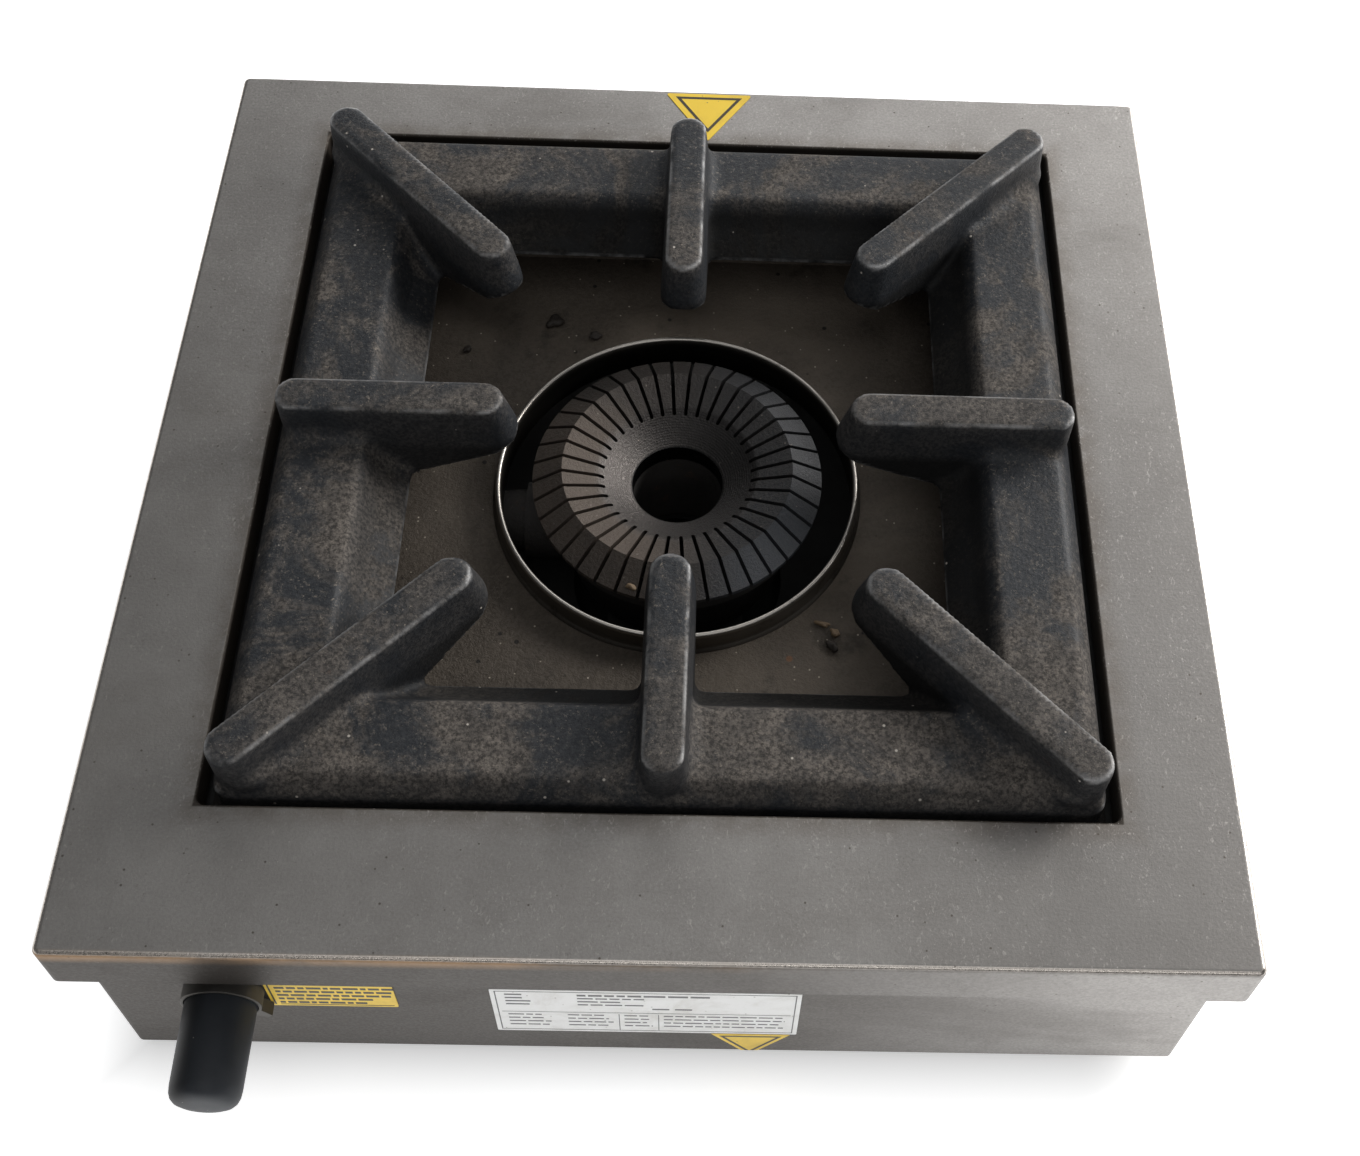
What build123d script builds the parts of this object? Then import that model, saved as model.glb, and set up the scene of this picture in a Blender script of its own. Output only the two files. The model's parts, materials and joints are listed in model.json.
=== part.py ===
from build123d import *
import math
import os

os.makedirs("parts", exist_ok=True)

# ---- driving dimensions (mm), origin on the burner axis at floor level ----
PLATE = 400.0          # square top plate, over the folds
PLATE_Y = -9.5         # plate centre, measured from the burner axis
SHEET = 1.5            # top plate gauge
FOLD = 25.0            # depth of the folded edge
PLATE_TOP = 120.0      # upper face of the top plate
FOOT_H = 12.0          # underside of the casing above the floor
CUTOUT = 314.0         # square cut-out in the plate
SHELL_IN = 8.0         # side of the casing behind the fold
SHELL_FRONT = 7.0      # front and rear of the casing behind the fold
SKIN = 1.2             # casing gauge

GRATE_OUT = 307.0      # pan support frame, outer
GRATE_IN = 202.0       # pan support frame, inner at the bottom
GRATE_BASE = 104.0     # underside of the pan support
GRATE_FLAT = 126.0     # flat top of the frame
GRATE_TOP = 142.0      # top of the fingers
FINGER_W = 15.0        # finger width at the top

TRAY_FLOOR = 80.0      # upper face of the tray floor
COLLAR_R = 72.0        # collar round the burner well
COLLAR_TOP = 90.3
CAP_R = 58.0           # burner cap
CAP_CREST_R = 46.0
CAP_DISH_R = 32.0
CAP_HOLE_R = 18.2
CAP_CREST = 99.4       # highest circle of the cap
SLOTS = 40             # flame slots
SLOT_W = 1.5

KNOB_X = -149.0
KNOB_Z = 70.0
KNOB_R = 12.3
FRONT_Y = PLATE_Y - PLATE / 2 + SHELL_FRONT     # outer face of the front panel
REAR_Y = PLATE_Y + PLATE / 2 - SHELL_FRONT      # outer face of the rear panel
SIDE_X = PLATE / 2 - SHELL_IN                   # outer face of the side panels
TIP_Y = 242.0                                   # knob end in front, nipple end behind

VENT_Z = 56.0          # axis of the venturi and injector
BRIDGE_TOP = 32.0      # strap that carries the burner
BRIDGE_Y = 62.0        # legs of the strap
EAR_Y = 52.0           # screws through the burner ears
VALVE_BORE = 6.5
SPINDLE_R = 4.0
PUSH = 2.5             # push travel of the knob
INLET_X = -176.0
INLET_Z = 58.0         # gas inlet in the rear panel, below the valve's level
INLET_Y = -170.0       # side port of the valve
SHELL_SCREW_YS = (FRONT_Y + 7.6, REAR_Y - 30)
FOOT_X = 160.0
FOOT_YS = (-165.0, 146.0)


def out(shape, name):
    export_step(shape, f"parts/{name}.step")


def box(x0, x1, y0, y1, z0, z1):
    return Pos((x0 + x1) / 2, (y0 + y1) / 2, (z0 + z1) / 2) * Box(x1 - x0, y1 - y0, z1 - z0)


def cyl_z(r, z0, z1, x=0.0, y=0.0):
    return Pos(x, y, (z0 + z1) / 2) * Cylinder(r, z1 - z0)


def cyl_y(r, y0, y1, x=0.0, z=0.0):
    return Pos(x, (y0 + y1) / 2, z) * Rot(90, 0, 0) * Cylinder(r, y1 - y0)


def cyl_x(r, x0, x1, y=0.0, z=0.0):
    return Pos((x0 + x1) / 2, y, z) * Rot(0, 90, 0) * Cylinder(r, x1 - x0)


def hex_y(flats, y0, y1, x, z):
    prism = extrude(RegularPolygon(flats / 2, 6, major_radius=False), y1 - y0)
    return Pos(x, y1, z) * Rot(90, 0, 0) * prism


def hex_x(flats, x0, x1, y, z):
    prism = extrude(RegularPolygon(flats / 2, 6, major_radius=False), x1 - x0)
    return Pos(x0, y, z) * Rot(0, 90, 0) * prism


def square_slab(side0, side1, z0, z1, corner0, corner1, y=0.0):
    """Square block whose size changes evenly from z0 to z1."""
    low = Pos(0, y, z0) * RectangleRounded(side0, side0, corner0)
    high = Pos(0, y, z1) * RectangleRounded(side1, side1, corner1)
    return loft([low.face(), high.face()], ruled=True)


def turned(points, x=0.0, y=0.0):
    """Solid of revolution about the vertical through (x, y) from (r, z) points."""
    face = make_face(Polyline([(r, 0, z) for r, z in points], close=True))
    return Pos(x, y, 0) * revolve(face, Axis.Z, 360)


def first_solid(shape):
    return max(shape.solids(), key=lambda s: s.volume)


# ---- casing ----
def top_plate():
    half = PLATE / 2
    y0 = PLATE_Y - half
    y1 = PLATE_Y + half
    blank = box(-half, half, y0, y1, PLATE_TOP - FOLD, PLATE_TOP)
    blank = fillet(blank.edges().filter_by(Axis.Z), 3.0)
    blank = fillet(blank.faces().sort_by(Axis.Z)[-1].edges(), 2.2)
    inner = box(-half + SHEET, half - SHEET, y0 + SHEET, y1 - SHEET, PLATE_TOP - FOLD - 1, PLATE_TOP - SHEET)
    inner = fillet(inner.edges().filter_by(Axis.Z), 1.6)
    skin = blank - inner
    rim = Pos(0, 0, PLATE_TOP - 12) * extrude(RectangleRounded(CUTOUT + 2 * SHEET, CUTOUT + 2 * SHEET, 4.5), 11.9)
    skin = skin + rim
    hole = Pos(0, 0, PLATE_TOP - 13) * extrude(RectangleRounded(CUTOUT, CUTOUT, 3.0), 14)
    skin = skin - hole
    mouth = skin.edges().filter_by_position(Axis.Z, PLATE_TOP - 0.01, PLATE_TOP + 0.01)
    mouth = [e for e in mouth if abs(e.center().X) < CUTOUT / 2 + 1 and abs(e.center().Y) < CUTOUT / 2 + 1]
    skin = fillet(mouth, 1.2)
    return skin


def body_shell():
    z0 = FOOT_H
    z1 = PLATE_TOP - SHEET
    y0 = FRONT_Y
    y1 = REAR_Y - SKIN
    outer = box(-SIDE_X, SIDE_X, y0, y1, z0, z1)
    outer = fillet(outer.edges().filter_by(Axis.Z).sort_by(Axis.Y)[:2], 2.5)
    hollow = box(-SIDE_X + SKIN, SIDE_X - SKIN, y0 + SKIN, y1 + 1, z0 + SKIN, z1 + 1)
    floor_cut = box(-SIDE_X + 14, SIDE_X - 14, y0 + 14, y1 + 1, z0 - 1, z0 + SKIN + 1)
    shell = outer - hollow - floor_cut
    for sx in (-1, 1):
        rear = box(min(sx * SIDE_X, sx * (SIDE_X - 13)), max(sx * SIDE_X, sx * (SIDE_X - 13)),
                   y1 - SKIN, y1, z0, z1 - 2)
        shell = shell + rear
        for z in (35, 90):
            shell = shell - cyl_y(1.7, y1 - 3, y1 + 1, sx * (SIDE_X - 7), z)
    shell = shell - cyl_y(8.1, y0 - 1, y0 + SKIN + 1, KNOB_X, KNOB_Z)
    shell = shell - cyl_y(11.2, y1 - 3, y1 + 1, INLET_X, INLET_Z)
    for sx in (-1, 1):
        for y in SHELL_SCREW_YS:
            shell = shell - cyl_z(1.7, z0 - 1, z0 + 3, sx * (SIDE_X - 7), y)
    return shell


def rear_panel():
    panel = box(-SIDE_X, SIDE_X, REAR_Y - SKIN, REAR_Y, FOOT_H, PLATE_TOP - SHEET - 0.2)
    for i in range(9):
        x = -80 + i * 20
        slot = Pos(x, REAR_Y, 66) * Rot(90, 0, 0) * extrude(SlotOverall(34, 6, rotation=90), 8, both=True)
        panel = panel - slot
    panel = panel - cyl_y(8.2, REAR_Y - 4, REAR_Y + 1, INLET_X, INLET_Z)
    for sx in (-1, 1):
        for z in (35, 90):
            panel = panel - cyl_y(1.8, REAR_Y - 4, REAR_Y + 1, sx * (SIDE_X - 7), z)
    return panel


def base_plate():
    x1 = SIDE_X - SKIN - 0.3
    y0 = FRONT_Y + SKIN + 0.3
    y1 = REAR_Y - 2 * SKIN - 0.3
    plate = box(-x1, x1, y0, y1, FOOT_H + SKIN, FOOT_H + 2 * SKIN)
    plate = plate - cyl_z(45, FOOT_H, FOOT_H + 5)
    for sx in (-1, 1):
        for y in SHELL_SCREW_YS:
            plate = plate - cyl_z(1.8, FOOT_H, FOOT_H + 5, sx * (SIDE_X - 7), y)
        for y in FOOT_YS:
            plate = plate - cyl_z(2.2, FOOT_H, FOOT_H + 5, sx * FOOT_X, y)
        for y in (-BRIDGE_Y - 9, BRIDGE_Y + 9):
            plate = plate - cyl_z(2.2, FOOT_H, FOOT_H + 5, sx * 18, y)
    for sx in (-1, 1):
        for i in range(6):
            y = -75 + i * 30
            slot = Pos(sx * 110, y, FOOT_H) * extrude(SlotOverall(50, 8), 5)
            plate = plate - slot
    return plate


def ledge_frame():
    outer = Pos(0, 0, 101.5) * extrude(RectangleRounded(320, 320, 5.5), PLATE_TOP - SHEET - 101.5)
    inner = Pos(0, 0, 103.0) * extrude(RectangleRounded(317, 317, 4.5), 20)
    window = Pos(0, 0, 100) * extrude(RectangleRounded(282, 282, 6), 10)
    return outer - inner - window


# ---- pan support ----
def grate_finger(r_in, r_out):
    """One finger along +X: stadium in plan, drafted sides, hooked nose."""
    def stadium(a, b, w, z):
        return (Pos((a + b) / 2, 0, z) * SlotOverall(b - a, w)).face()

    top = stadium(r_in, r_out, FINGER_W, GRATE_TOP)
    mid = stadium(r_in - 5.5, r_out - 0.4, FINGER_W + 3.0, GRATE_FLAT)
    low = stadium(r_in - 6.0, r_out - 1.4, FINGER_W + 5.0, GRATE_BASE)
    upper = loft([mid, top], ruled=True)
    upper = fillet(upper.faces().sort_by(Axis.Z)[-1].edges(), 2.0)
    finger = upper + loft([low, mid], ruled=True)
    cut = make_face(Polyline([
        (r_in - 30, 0, GRATE_BASE - 5), (r_in - 30, 0, 121), (r_in - 5, 0, 119.5), (r_in + 3, 0, 116),
        (GRATE_IN / 2 * (r_out / 150.0) - 4, 0, GRATE_BASE + 1), (GRATE_IN / 2 * (r_out / 150.0), 0, GRATE_BASE - 5),
    ], close=True))
    return finger - extrude(cut, 20, both=True)


def pan_support():
    flat_out = GRATE_OUT - 12
    frame = square_slab(GRATE_OUT, GRATE_OUT, GRATE_BASE, 117.0, 9, 9)
    frame = frame + square_slab(GRATE_OUT, flat_out, 117.0, GRATE_FLAT, 9, 7)
    frame = frame - square_slab(GRATE_IN, GRATE_IN + 24, GRATE_BASE, 115.0, 8, 10)
    frame = frame - square_slab(GRATE_IN + 24, GRATE_IN + 38, 115.0, GRATE_FLAT, 10, 12)
    channel = square_slab(294, 294, GRATE_BASE, 113.0, 6, 6) + square_slab(294, 284, 113.0, 119.0, 6, 6)
    channel = channel - square_slab(218, 234, GRATE_BASE, 111.0, 12, 14)
    channel = channel - square_slab(234, 244, 111.0, 119.0, 14, 16)
    frame = frame - channel
    for k in range(4):
        frame = frame + Rot(0, 0, 90 * k) * grate_finger(66.5, 152.5)
        frame = frame + Rot(0, 0, 45 + 90 * k) * grate_finger(102.5, 212.5)
    return first_solid(frame)


# ---- tray and well ----
def drip_tray():
    rim = Pos(0, 0, 103.0) * extrude(RectangleRounded(311, 311, 5), 1.0)
    outer = square_slab(250, 279, TRAY_FLOOR - 1, 104.0, 14, 8)
    inner = square_slab(247.4, 276.4, TRAY_FLOOR, 104.0, 13, 7)
    tray = rim + outer - inner
    tray = tray - cyl_z(COLLAR_R, TRAY_FLOOR - 5, TRAY_FLOOR + 5)
    return first_solid(tray)


def burner_collar():
    r = COLLAR_R
    pts = [(r - 1.2, TRAY_FLOOR - 6), (r, TRAY_FLOOR - 6), (r, TRAY_FLOOR - 1.0), (r, TRAY_FLOOR),
           (r + 2.6, TRAY_FLOOR), (r + 1.2, TRAY_FLOOR + 1.2), (r + 1.0, COLLAR_TOP - 0.8),
           (r + 0.6, COLLAR_TOP), (r - 0.4, COLLAR_TOP), (r - 0.8, COLLAR_TOP - 0.8)]
    return turned(pts)


def burner_cap():
    z = CAP_CREST
    pts = [(CAP_HOLE_R, z - 13.6), (CAP_DISH_R, z - 4.6), (CAP_CREST_R, z), (CAP_R, z - 7.6), (CAP_R, z - 9.6),
           (54.0, z - 12.5), (54.0, z - 15.4), (50.5, z - 15.4), (50.5, z - 13.0), (53.0, z - 10.0),
           (46.0, z - 5.5), (32.5, z - 9.0), (24.0, z - 14.5), (24.0, z - 19.0), (21.0, z - 19.0),
           (21.0, z - 22.0), (CAP_HOLE_R, z - 22.0)]
    cap = turned(pts)
    slot = Pos(30.0 + 20, 0, z - 4) * Box(40, SLOT_W, 20) + cyl_z(SLOT_W / 2, z - 14, z + 6, 30.0)
    lower = Pos(50, 0, z - 20.5) * Box(60, 4, 15)
    slot = slot - lower
    tools = [Rot(0, 0, i * 360 / SLOTS + 180 / SLOTS) * slot for i in range(SLOTS)]
    return first_solid(cap.cut(*[s for t in tools for s in t.solids()]))


def burner_body():
    z = CAP_CREST
    top = z - 15.7
    bowl = turned([(18.4, z - 22.3), (18.4, 36.0), (40.0, 36.0), (44.0, 42.0), (50.4, 70.0), (53.6, 78.0),
                   (53.6, top), (50.3, top), (50.3, 79.0), (46.6, 71.0), (40.2, 45.0), (37.0, 40.0),
                   (22.0, 40.0), (22.0, z - 22.3)])
    neck = cyl_x(16.0, -62, -38, 0, VENT_Z)
    core = turned([(0, 20), (37.5, 20), (37.5, 38.0), (44.0, 60.0), (48.0, 74.0), (48.0, 79.0), (0, 79.0)])
    body = bowl + (neck - core)
    body = body - cyl_x(11.0, -63, -30, 0, VENT_Z) - cyl_x(13.0, -63, -51, 0, VENT_Z)
    for sy in (-1, 1):
        ear = box(-9, 9, min(sy * 30, sy * 58), max(sy * 30, sy * 58), BRIDGE_TOP, 38.0)
        body = body + ear
        body = body - cyl_z(2.6, 30, 39, 0, sy * EAR_Y)
    return first_solid(body)


def burner_bridge():
    strap = box(-28, 28, -BRIDGE_Y, BRIDGE_Y, BRIDGE_TOP - 2.5, BRIDGE_TOP)
    strap = strap - cyl_z(20, BRIDGE_TOP - 4, BRIDGE_TOP + 1)
    z0 = FOOT_H + 2 * SKIN
    for sy in (-1, 1):
        leg = box(-28, 28, min(sy * BRIDGE_Y, sy * (BRIDGE_Y - 2.5)), max(sy * BRIDGE_Y, sy * (BRIDGE_Y - 2.5)),
                  z0, BRIDGE_TOP)
        foot = box(-28, 28, min(sy * (BRIDGE_Y - 2), sy * (BRIDGE_Y + 18)),
                   max(sy * (BRIDGE_Y - 2), sy * (BRIDGE_Y + 18)), z0, z0 + 2.5)
        strap = strap + leg + foot
        strap = strap - cyl_z(2.6, BRIDGE_TOP - 5, BRIDGE_TOP + 1, 0, sy * EAR_Y)
        for sx in (-1, 1):
            strap = strap - cyl_z(2.2, z0 - 1, z0 + 4, sx * 18, sy * (BRIDGE_Y + 9))
    return first_solid(strap)


def tube_x(points, z):
    """Solid of revolution about a line along X at height z, from (x, r) points."""
    face = make_face(Polyline([(x, 0, r) for x, r in points], close=True))
    return Pos(0, 0, z) * revolve(face, Axis.X, 360)


def air_windows(x0, x1):
    """Three sector windows through a disc across the venturi axis."""
    ring = cyl_x(15.0, x0, x1, 0, VENT_Z) - cyl_x(8.0, x0, x1, 0, VENT_Z)
    bars = [Pos((x0 + x1) / 2, 0, VENT_Z) * Rot(60 + i * 120, 0, 0) * Pos(0, 0, 11) * Box(x1 - x0 + 1, 10, 14)
            for i in range(3)]
    return ring - bars


def venturi_tube():
    tube = tube_x([(-118, 18.0), (-112, 18.0), (-104, 12.4), (-96, 11.0), (-64, 12.9), (-51.3, 12.9),
                   (-51.3, 11.0), (-64, 10.4), (-98, 8.0), (-106, 9.6), (-113, 15.6), (-116.6, 16.2),
                   (-116.6, 6.5), (-118, 6.5)], VENT_Z)
    return first_solid(tube - air_windows(-119, -115.5))


def air_shutter():
    cup = tube_x([(-120, 6.5), (-120, 19.4), (-109.5, 19.4), (-109.5, 18.1), (-118.4, 18.1), (-118.4, 6.5)],
                 VENT_Z)
    grip = Pos(-115, 0, VENT_Z + 20.3) * Box(4, 8, 3.4)
    return first_solid(cup + grip - air_windows(-121, -117.5))


def injector():
    nose = tube_x([(-118.8, 0.6), (-118.8, 2.0), (-121, 3.2), (-126.5, 4.2), (-126.5, 0.6)], VENT_Z)
    head = hex_x(11, -132, -126, 0, VENT_Z) - cyl_x(2.2, -133, -125, 0, VENT_Z)
    tail = cyl_x(3.9, -140, -131.8, 0, VENT_Z) - cyl_x(2.2, -141, -131, 0, VENT_Z)
    return first_solid(nose + head + tail)


def injector_elbow():
    run = cyl_x(8.0, -157, -133, 0, VENT_Z)
    stub = cyl_x(5.0, -163.5, -156, 0, VENT_Z)
    port = cyl_y(6.5, -20, 0, KNOB_X, VENT_Z)
    elbow = run + stub + port
    elbow = elbow - cyl_x(4.0, -149, -132, 0, VENT_Z) - cyl_y(3.0, -21, 0, KNOB_X, VENT_Z)
    return first_solid(elbow)


def injector_bracket():
    z0 = FOOT_H + 2 * SKIN
    plate = box(-159.3, -157.3, -14, 14, z0, 70)
    foot = box(-159.3, -136, -14, 14, z0, z0 + 2)
    bracket = plate + foot - cyl_x(5.1, -161, -156, 0, VENT_Z)
    for y in (-8, 8):
        bracket = bracket - cyl_z(1.8, z0 - 1, z0 + 3, -144, y)
    return bracket


# ---- gas valve and knob ----
def gas_valve():
    y_in = FRONT_Y + SKIN
    body = cyl_y(11.0, y_in, -160, KNOB_X, KNOB_Z)
    body = body + cyl_y(7.9, FRONT_Y - 3.6, y_in + 1, KNOB_X, KNOB_Z)
    body = body + cyl_y(8.5, -161, -150, KNOB_X, KNOB_Z) + cyl_y(6.0, -151, -142, KNOB_X, KNOB_Z)
    body = body + hex_y(20, -158, -152, KNOB_X, KNOB_Z)
    body = body + cyl_x(6.0, -164, KNOB_X, INLET_Y, KNOB_Z)
    body = body + cyl_z(7.0, 44, KNOB_Z, KNOB_X, INLET_Y)
    body = body - cyl_y(VALVE_BORE, FRONT_Y - 5, -172, KNOB_X, KNOB_Z)
    body = body - cyl_y(3.0, -173, -141, KNOB_X, KNOB_Z)
    body = body - cyl_x(3.0, -165, KNOB_X, INLET_Y - 0.0, KNOB_Z)
    body = body - cyl_z(1.1, 43, 50, KNOB_X, INLET_Y)
    return first_solid(body)


def valve_spindle():
    shaft = cyl_y(SPINDLE_R, -236, -180, KNOB_X, KNOB_Z)
    shaft = shaft + cyl_y(5.6, -198.6, -196.2, KNOB_X, KNOB_Z)
    flat = box(KNOB_X - 6, KNOB_X + 6, -237, -212, KNOB_Z - 8, KNOB_Z - 2.6)
    return shaft - flat


def spring_cup():
    ring = cyl_y(VALVE_BORE - 0.08, -196.0, -193.6, KNOB_X, KNOB_Z)
    return ring - cyl_y(SPINDLE_R + 0.08, -197, -193, KNOB_X, KNOB_Z)


def return_spring():
    pitch = 2.6
    height = 14.0
    helix = Helix(pitch, height, 5.25)
    wire = sweep(Plane(helix @ 0, z_dir=helix % 0) * Circle(0.55), path=helix)
    return Pos(KNOB_X, -178.2, KNOB_Z) * Rot(90, 0, 0) * wire


def valve_nut():
    nut = hex_y(18, FRONT_Y - 3.2, FRONT_Y - 0.8, KNOB_X, KNOB_Z)
    return nut - cyl_y(7.95, FRONT_Y - 5, FRONT_Y + 1, KNOB_X, KNOB_Z)


def knob_bezel():
    ring = cyl_y(13.7, FRONT_Y - 6.0, FRONT_Y, KNOB_X, KNOB_Z)
    ring = fillet(ring.edges().sort_by(Axis.Y)[0], 0.4)
    ring = ring - cyl_y(12.7, FRONT_Y - 7, FRONT_Y - 0.8, KNOB_X, KNOB_Z)
    ring = ring - cyl_y(8.2, FRONT_Y - 2, FRONT_Y + 1, KNOB_X, KNOB_Z)
    tip = make_face(Polyline([(13.2, -3.2), (19.5, -1.2), (19.5, 1.2), (13.2, 3.2)], close=True))
    tip = Pos(KNOB_X, FRONT_Y - 0.6, KNOB_Z) * Rot(0, 42, 0) * Rot(90, 0, 0) * extrude(tip, 4.5)
    return first_solid(ring + tip)


def knob():
    y0 = -TIP_Y
    y1 = FRONT_Y - 4.1
    body = cyl_y(KNOB_R, y0, y1, KNOB_X, KNOB_Z)
    body = fillet(body.edges().sort_by(Axis.Y)[0], 4.5)
    body = fillet(body.edges().sort_by(Axis.Y)[-1], 0.4)
    body = body - cyl_y(11.0, y1 - 5.4, y1 + 1, KNOB_X, KNOB_Z)
    bore = cyl_y(SPINDLE_R + 0.04, -236.2, y1, KNOB_X, KNOB_Z)
    bore = bore - box(KNOB_X - 6, KNOB_X + 6, -240, -212, KNOB_Z - 8, KNOB_Z - 2.64)
    body = body - bore
    return first_solid(body - cyl_z(1.5, KNOB_Z - 14, KNOB_Z - 2, KNOB_X, -220))


def knob_screw():
    grub = cyl_z(1.45, KNOB_Z - 9.5, KNOB_Z - 2.7, KNOB_X, -220)
    return grub - Pos(KNOB_X, -220, KNOB_Z - 10) * extrude(RegularPolygon(0.75, 6), 1.5)


# ---- pipework ----
def bent_pipe(points, radius, outer, bore):
    path = FilletPolyline(*points, radius=radius)
    start = Plane(origin=path @ 0, z_dir=path % 0)
    pipe = sweep(start * Circle(outer), path=path)
    return pipe - sweep(start * Circle(bore), path=path) if bore else pipe


def burner_pipe():
    return bent_pipe([(KNOB_X, -141.8, KNOB_Z), (KNOB_X, -118, KNOB_Z), (KNOB_X, -100, VENT_Z),
                      (KNOB_X, -20.2, VENT_Z)], 12, 4.0, 3.0)


def supply_pipe():
    return bent_pipe([(INLET_X, 164.8, INLET_Z), (INLET_X, 110, INLET_Z), (INLET_X, 80, KNOB_Z),
                      (INLET_X, INLET_Y, KNOB_Z), (-164.2, INLET_Y, KNOB_Z)], 8, 4.0, 3.0)


def ring_nut_y(flats, y0, y1, x, z, bore):
    nut = hex_y(flats, y0, y1, x, z)
    return nut - cyl_y(bore, y0 - 1, y1 + 1, x, z)


def compression_nuts():
    side = hex_x(14, -167.8, -164.3, INLET_Y, KNOB_Z) - cyl_x(4.05, -170, -160, INLET_Y, KNOB_Z)
    return Compound([
        ring_nut_y(14, -141.6, -133, KNOB_X, KNOB_Z, 4.05),
        ring_nut_y(14, -29, -20.4, KNOB_X, VENT_Z, 4.05),
        ring_nut_y(14, 156, 164.6, INLET_X, INLET_Z, 4.05),
        side,
    ])


def inlet_bulkhead():
    body = cyl_y(8.0, 165, 196, INLET_X, INLET_Z) + hex_y(19, 175.5, 181.0, INLET_X, INLET_Z)
    return first_solid(body - cyl_y(3.5, 164, 197, INLET_X, INLET_Z))


def inlet_washer():
    return cyl_y(9.4, 181.1, REAR_Y - SKIN - 0.05, INLET_X, INLET_Z) - cyl_y(8.06, 180, 184, INLET_X, INLET_Z)


def inlet_locknut():
    return ring_nut_y(19, REAR_Y + 0.05, REAR_Y + 5, INLET_X, INLET_Z, 8.05)


def hose_nipple():
    """Ridged tail for a 10 mm hose; no ridge stands above the plain shank."""
    body = hex_y(19, 189.5, 203, INLET_X, INLET_Z) + cyl_y(5.0, 202, 209, INLET_X, INLET_Z)
    body = body + cyl_y(4.4, 208, TIP_Y, INLET_X, INLET_Z)
    for i in range(5):
        y = 210.4 + i * 6.2
        ridge = make_face(Polyline([(0, 0), (4.4, 0), (5.0, 0.8), (4.4, 5.4), (0, 5.4)], close=True))
        body = body + Pos(INLET_X, y, INLET_Z) * revolve(ridge, Axis.Y, 360)
    body = body - cyl_y(3.0, 188, TIP_Y + 1, INLET_X, INLET_Z) - cyl_y(8.05, 189, 196.1, INLET_X, INLET_Z)
    return first_solid(body)


PROBE = (1.0, -64.0)


def thermocouple_probe():
    x, y = PROBE
    rod = cyl_z(2.0, 58, 88, x, y)
    rod = fillet(rod.edges().sort_by(Axis.Z)[-1], 1.2)
    return rod + cyl_z(3.2, 60.0, 63.8, x, y)


def thermocouple_lead():
    x, y = PROBE
    return bent_pipe([(KNOB_X, INLET_Y, 43.8), (KNOB_X, INLET_Y, 24), (-70, -96, 24), (x, y, 24),
                      (x, y, 57.8)], 8, 0.9, 0)


def thermocouple_clip():
    x, y = PROBE
    strap = box(x - 5, x + 5, y - 4, -44, 64.0, 66.0)
    strap = strap - cyl_z(49.9, 60, 70) - cyl_z(2.05, 60, 70, x, y)
    return first_solid(strap)


# ---- fasteners, feet, labels ----
def cap_screw(x, y, z_head, z_tip, r_head=3.6, r=1.65, head=2.0, up=True):
    """Pan-head screw along Z; z_head is the face under the head."""
    if up:
        shank = cyl_z(r, z_head - 0.01, z_tip, x, y)
        cap = cyl_z(r_head, z_head - head, z_head, x, y)
        edge = cap.edges().sort_by(Axis.Z)[0]
        slot = box(x - r_head, x + r_head, y - 0.4, y + 0.4, z_head - head - 1, z_head - head + 0.8)
    else:
        shank = cyl_z(r, z_tip, z_head + 0.01, x, y)
        cap = cyl_z(r_head, z_head, z_head + head, x, y)
        edge = cap.edges().sort_by(Axis.Z)[-1]
        slot = box(x - r_head, x + r_head, y - 0.4, y + 0.4, z_head + head - 0.8, z_head + head + 1)
    return fillet(edge, 0.8) + shank - slot


def nut_z(flats, z0, z1, x, y, bore):
    return Pos(x, y, z0) * extrude(RegularPolygon(flats / 2, 6, major_radius=False), z1 - z0) - cyl_z(
        bore, z0 - 1, z1 + 1, x, y)


def casing_screws():
    group = [cap_screw(sx * (SIDE_X - 7), y, FOOT_H - 0.05, FOOT_H + 6) for sx in (-1, 1) for y in SHELL_SCREW_YS]
    return Compound(group)


def panel_screws():
    group = []
    for sx in (-1, 1):
        for z in (35, 90):
            screw = cap_screw(0, 0, 0, 7)
            group.append(Pos(sx * (SIDE_X - 7), REAR_Y + 0.05, z) * Rot(90, 0, 0) * screw)
    return Compound(group)


def bridge_screws():
    top = FOOT_H + 2 * SKIN + 2.5
    group = []
    for sx in (-1, 1):
        for sy in (-1, 1):
            group.append(cap_screw(sx * 18, sy * (BRIDGE_Y + 9), top + 0.05, FOOT_H + 0.6, 3.8, 2.0, 2.2, up=False))
    return Compound(group)


def burner_screws():
    group = [cap_screw(0, sy * EAR_Y, 38.05, 24.5, 4.4, 2.5, 2.6, up=False) for sy in (-1, 1)]
    return Compound(group)


def burner_nuts():
    group = [nut_z(8, BRIDGE_TOP - 2.5 - 4.1, BRIDGE_TOP - 2.55, 0, sy * EAR_Y, 2.55) for sy in (-1, 1)]
    return Compound(group)


def rubber_feet():
    group = []
    for sx in (-1, 1):
        for y in FOOT_YS:
            foot = turned([(0, 0), (12.0, 0), (12.8, 0.8), (14.0, FOOT_H + SKIN - 0.05), (0, FOOT_H + SKIN - 0.05)],
                          sx * FOOT_X, y)
            foot = foot - cyl_z(5.0, -1, 5.0, sx * FOOT_X, y) - cyl_z(2.15, 0, 20, sx * FOOT_X, y)
            group.append(foot)
    return Compound([f.solids()[0] for f in group])


def foot_screws():
    group = [cap_screw(sx * FOOT_X, y, 4.95, 21, 4.0, 2.0, 2.4) for sx in (-1, 1) for y in FOOT_YS]
    return Compound([g for g in group])


def foot_nuts():
    z0 = FOOT_H + 2 * SKIN + 0.05
    return Compound([nut_z(7, z0, z0 + 3.2, sx * FOOT_X, y, 2.05) for sx in (-1, 1) for y in FOOT_YS])


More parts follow.
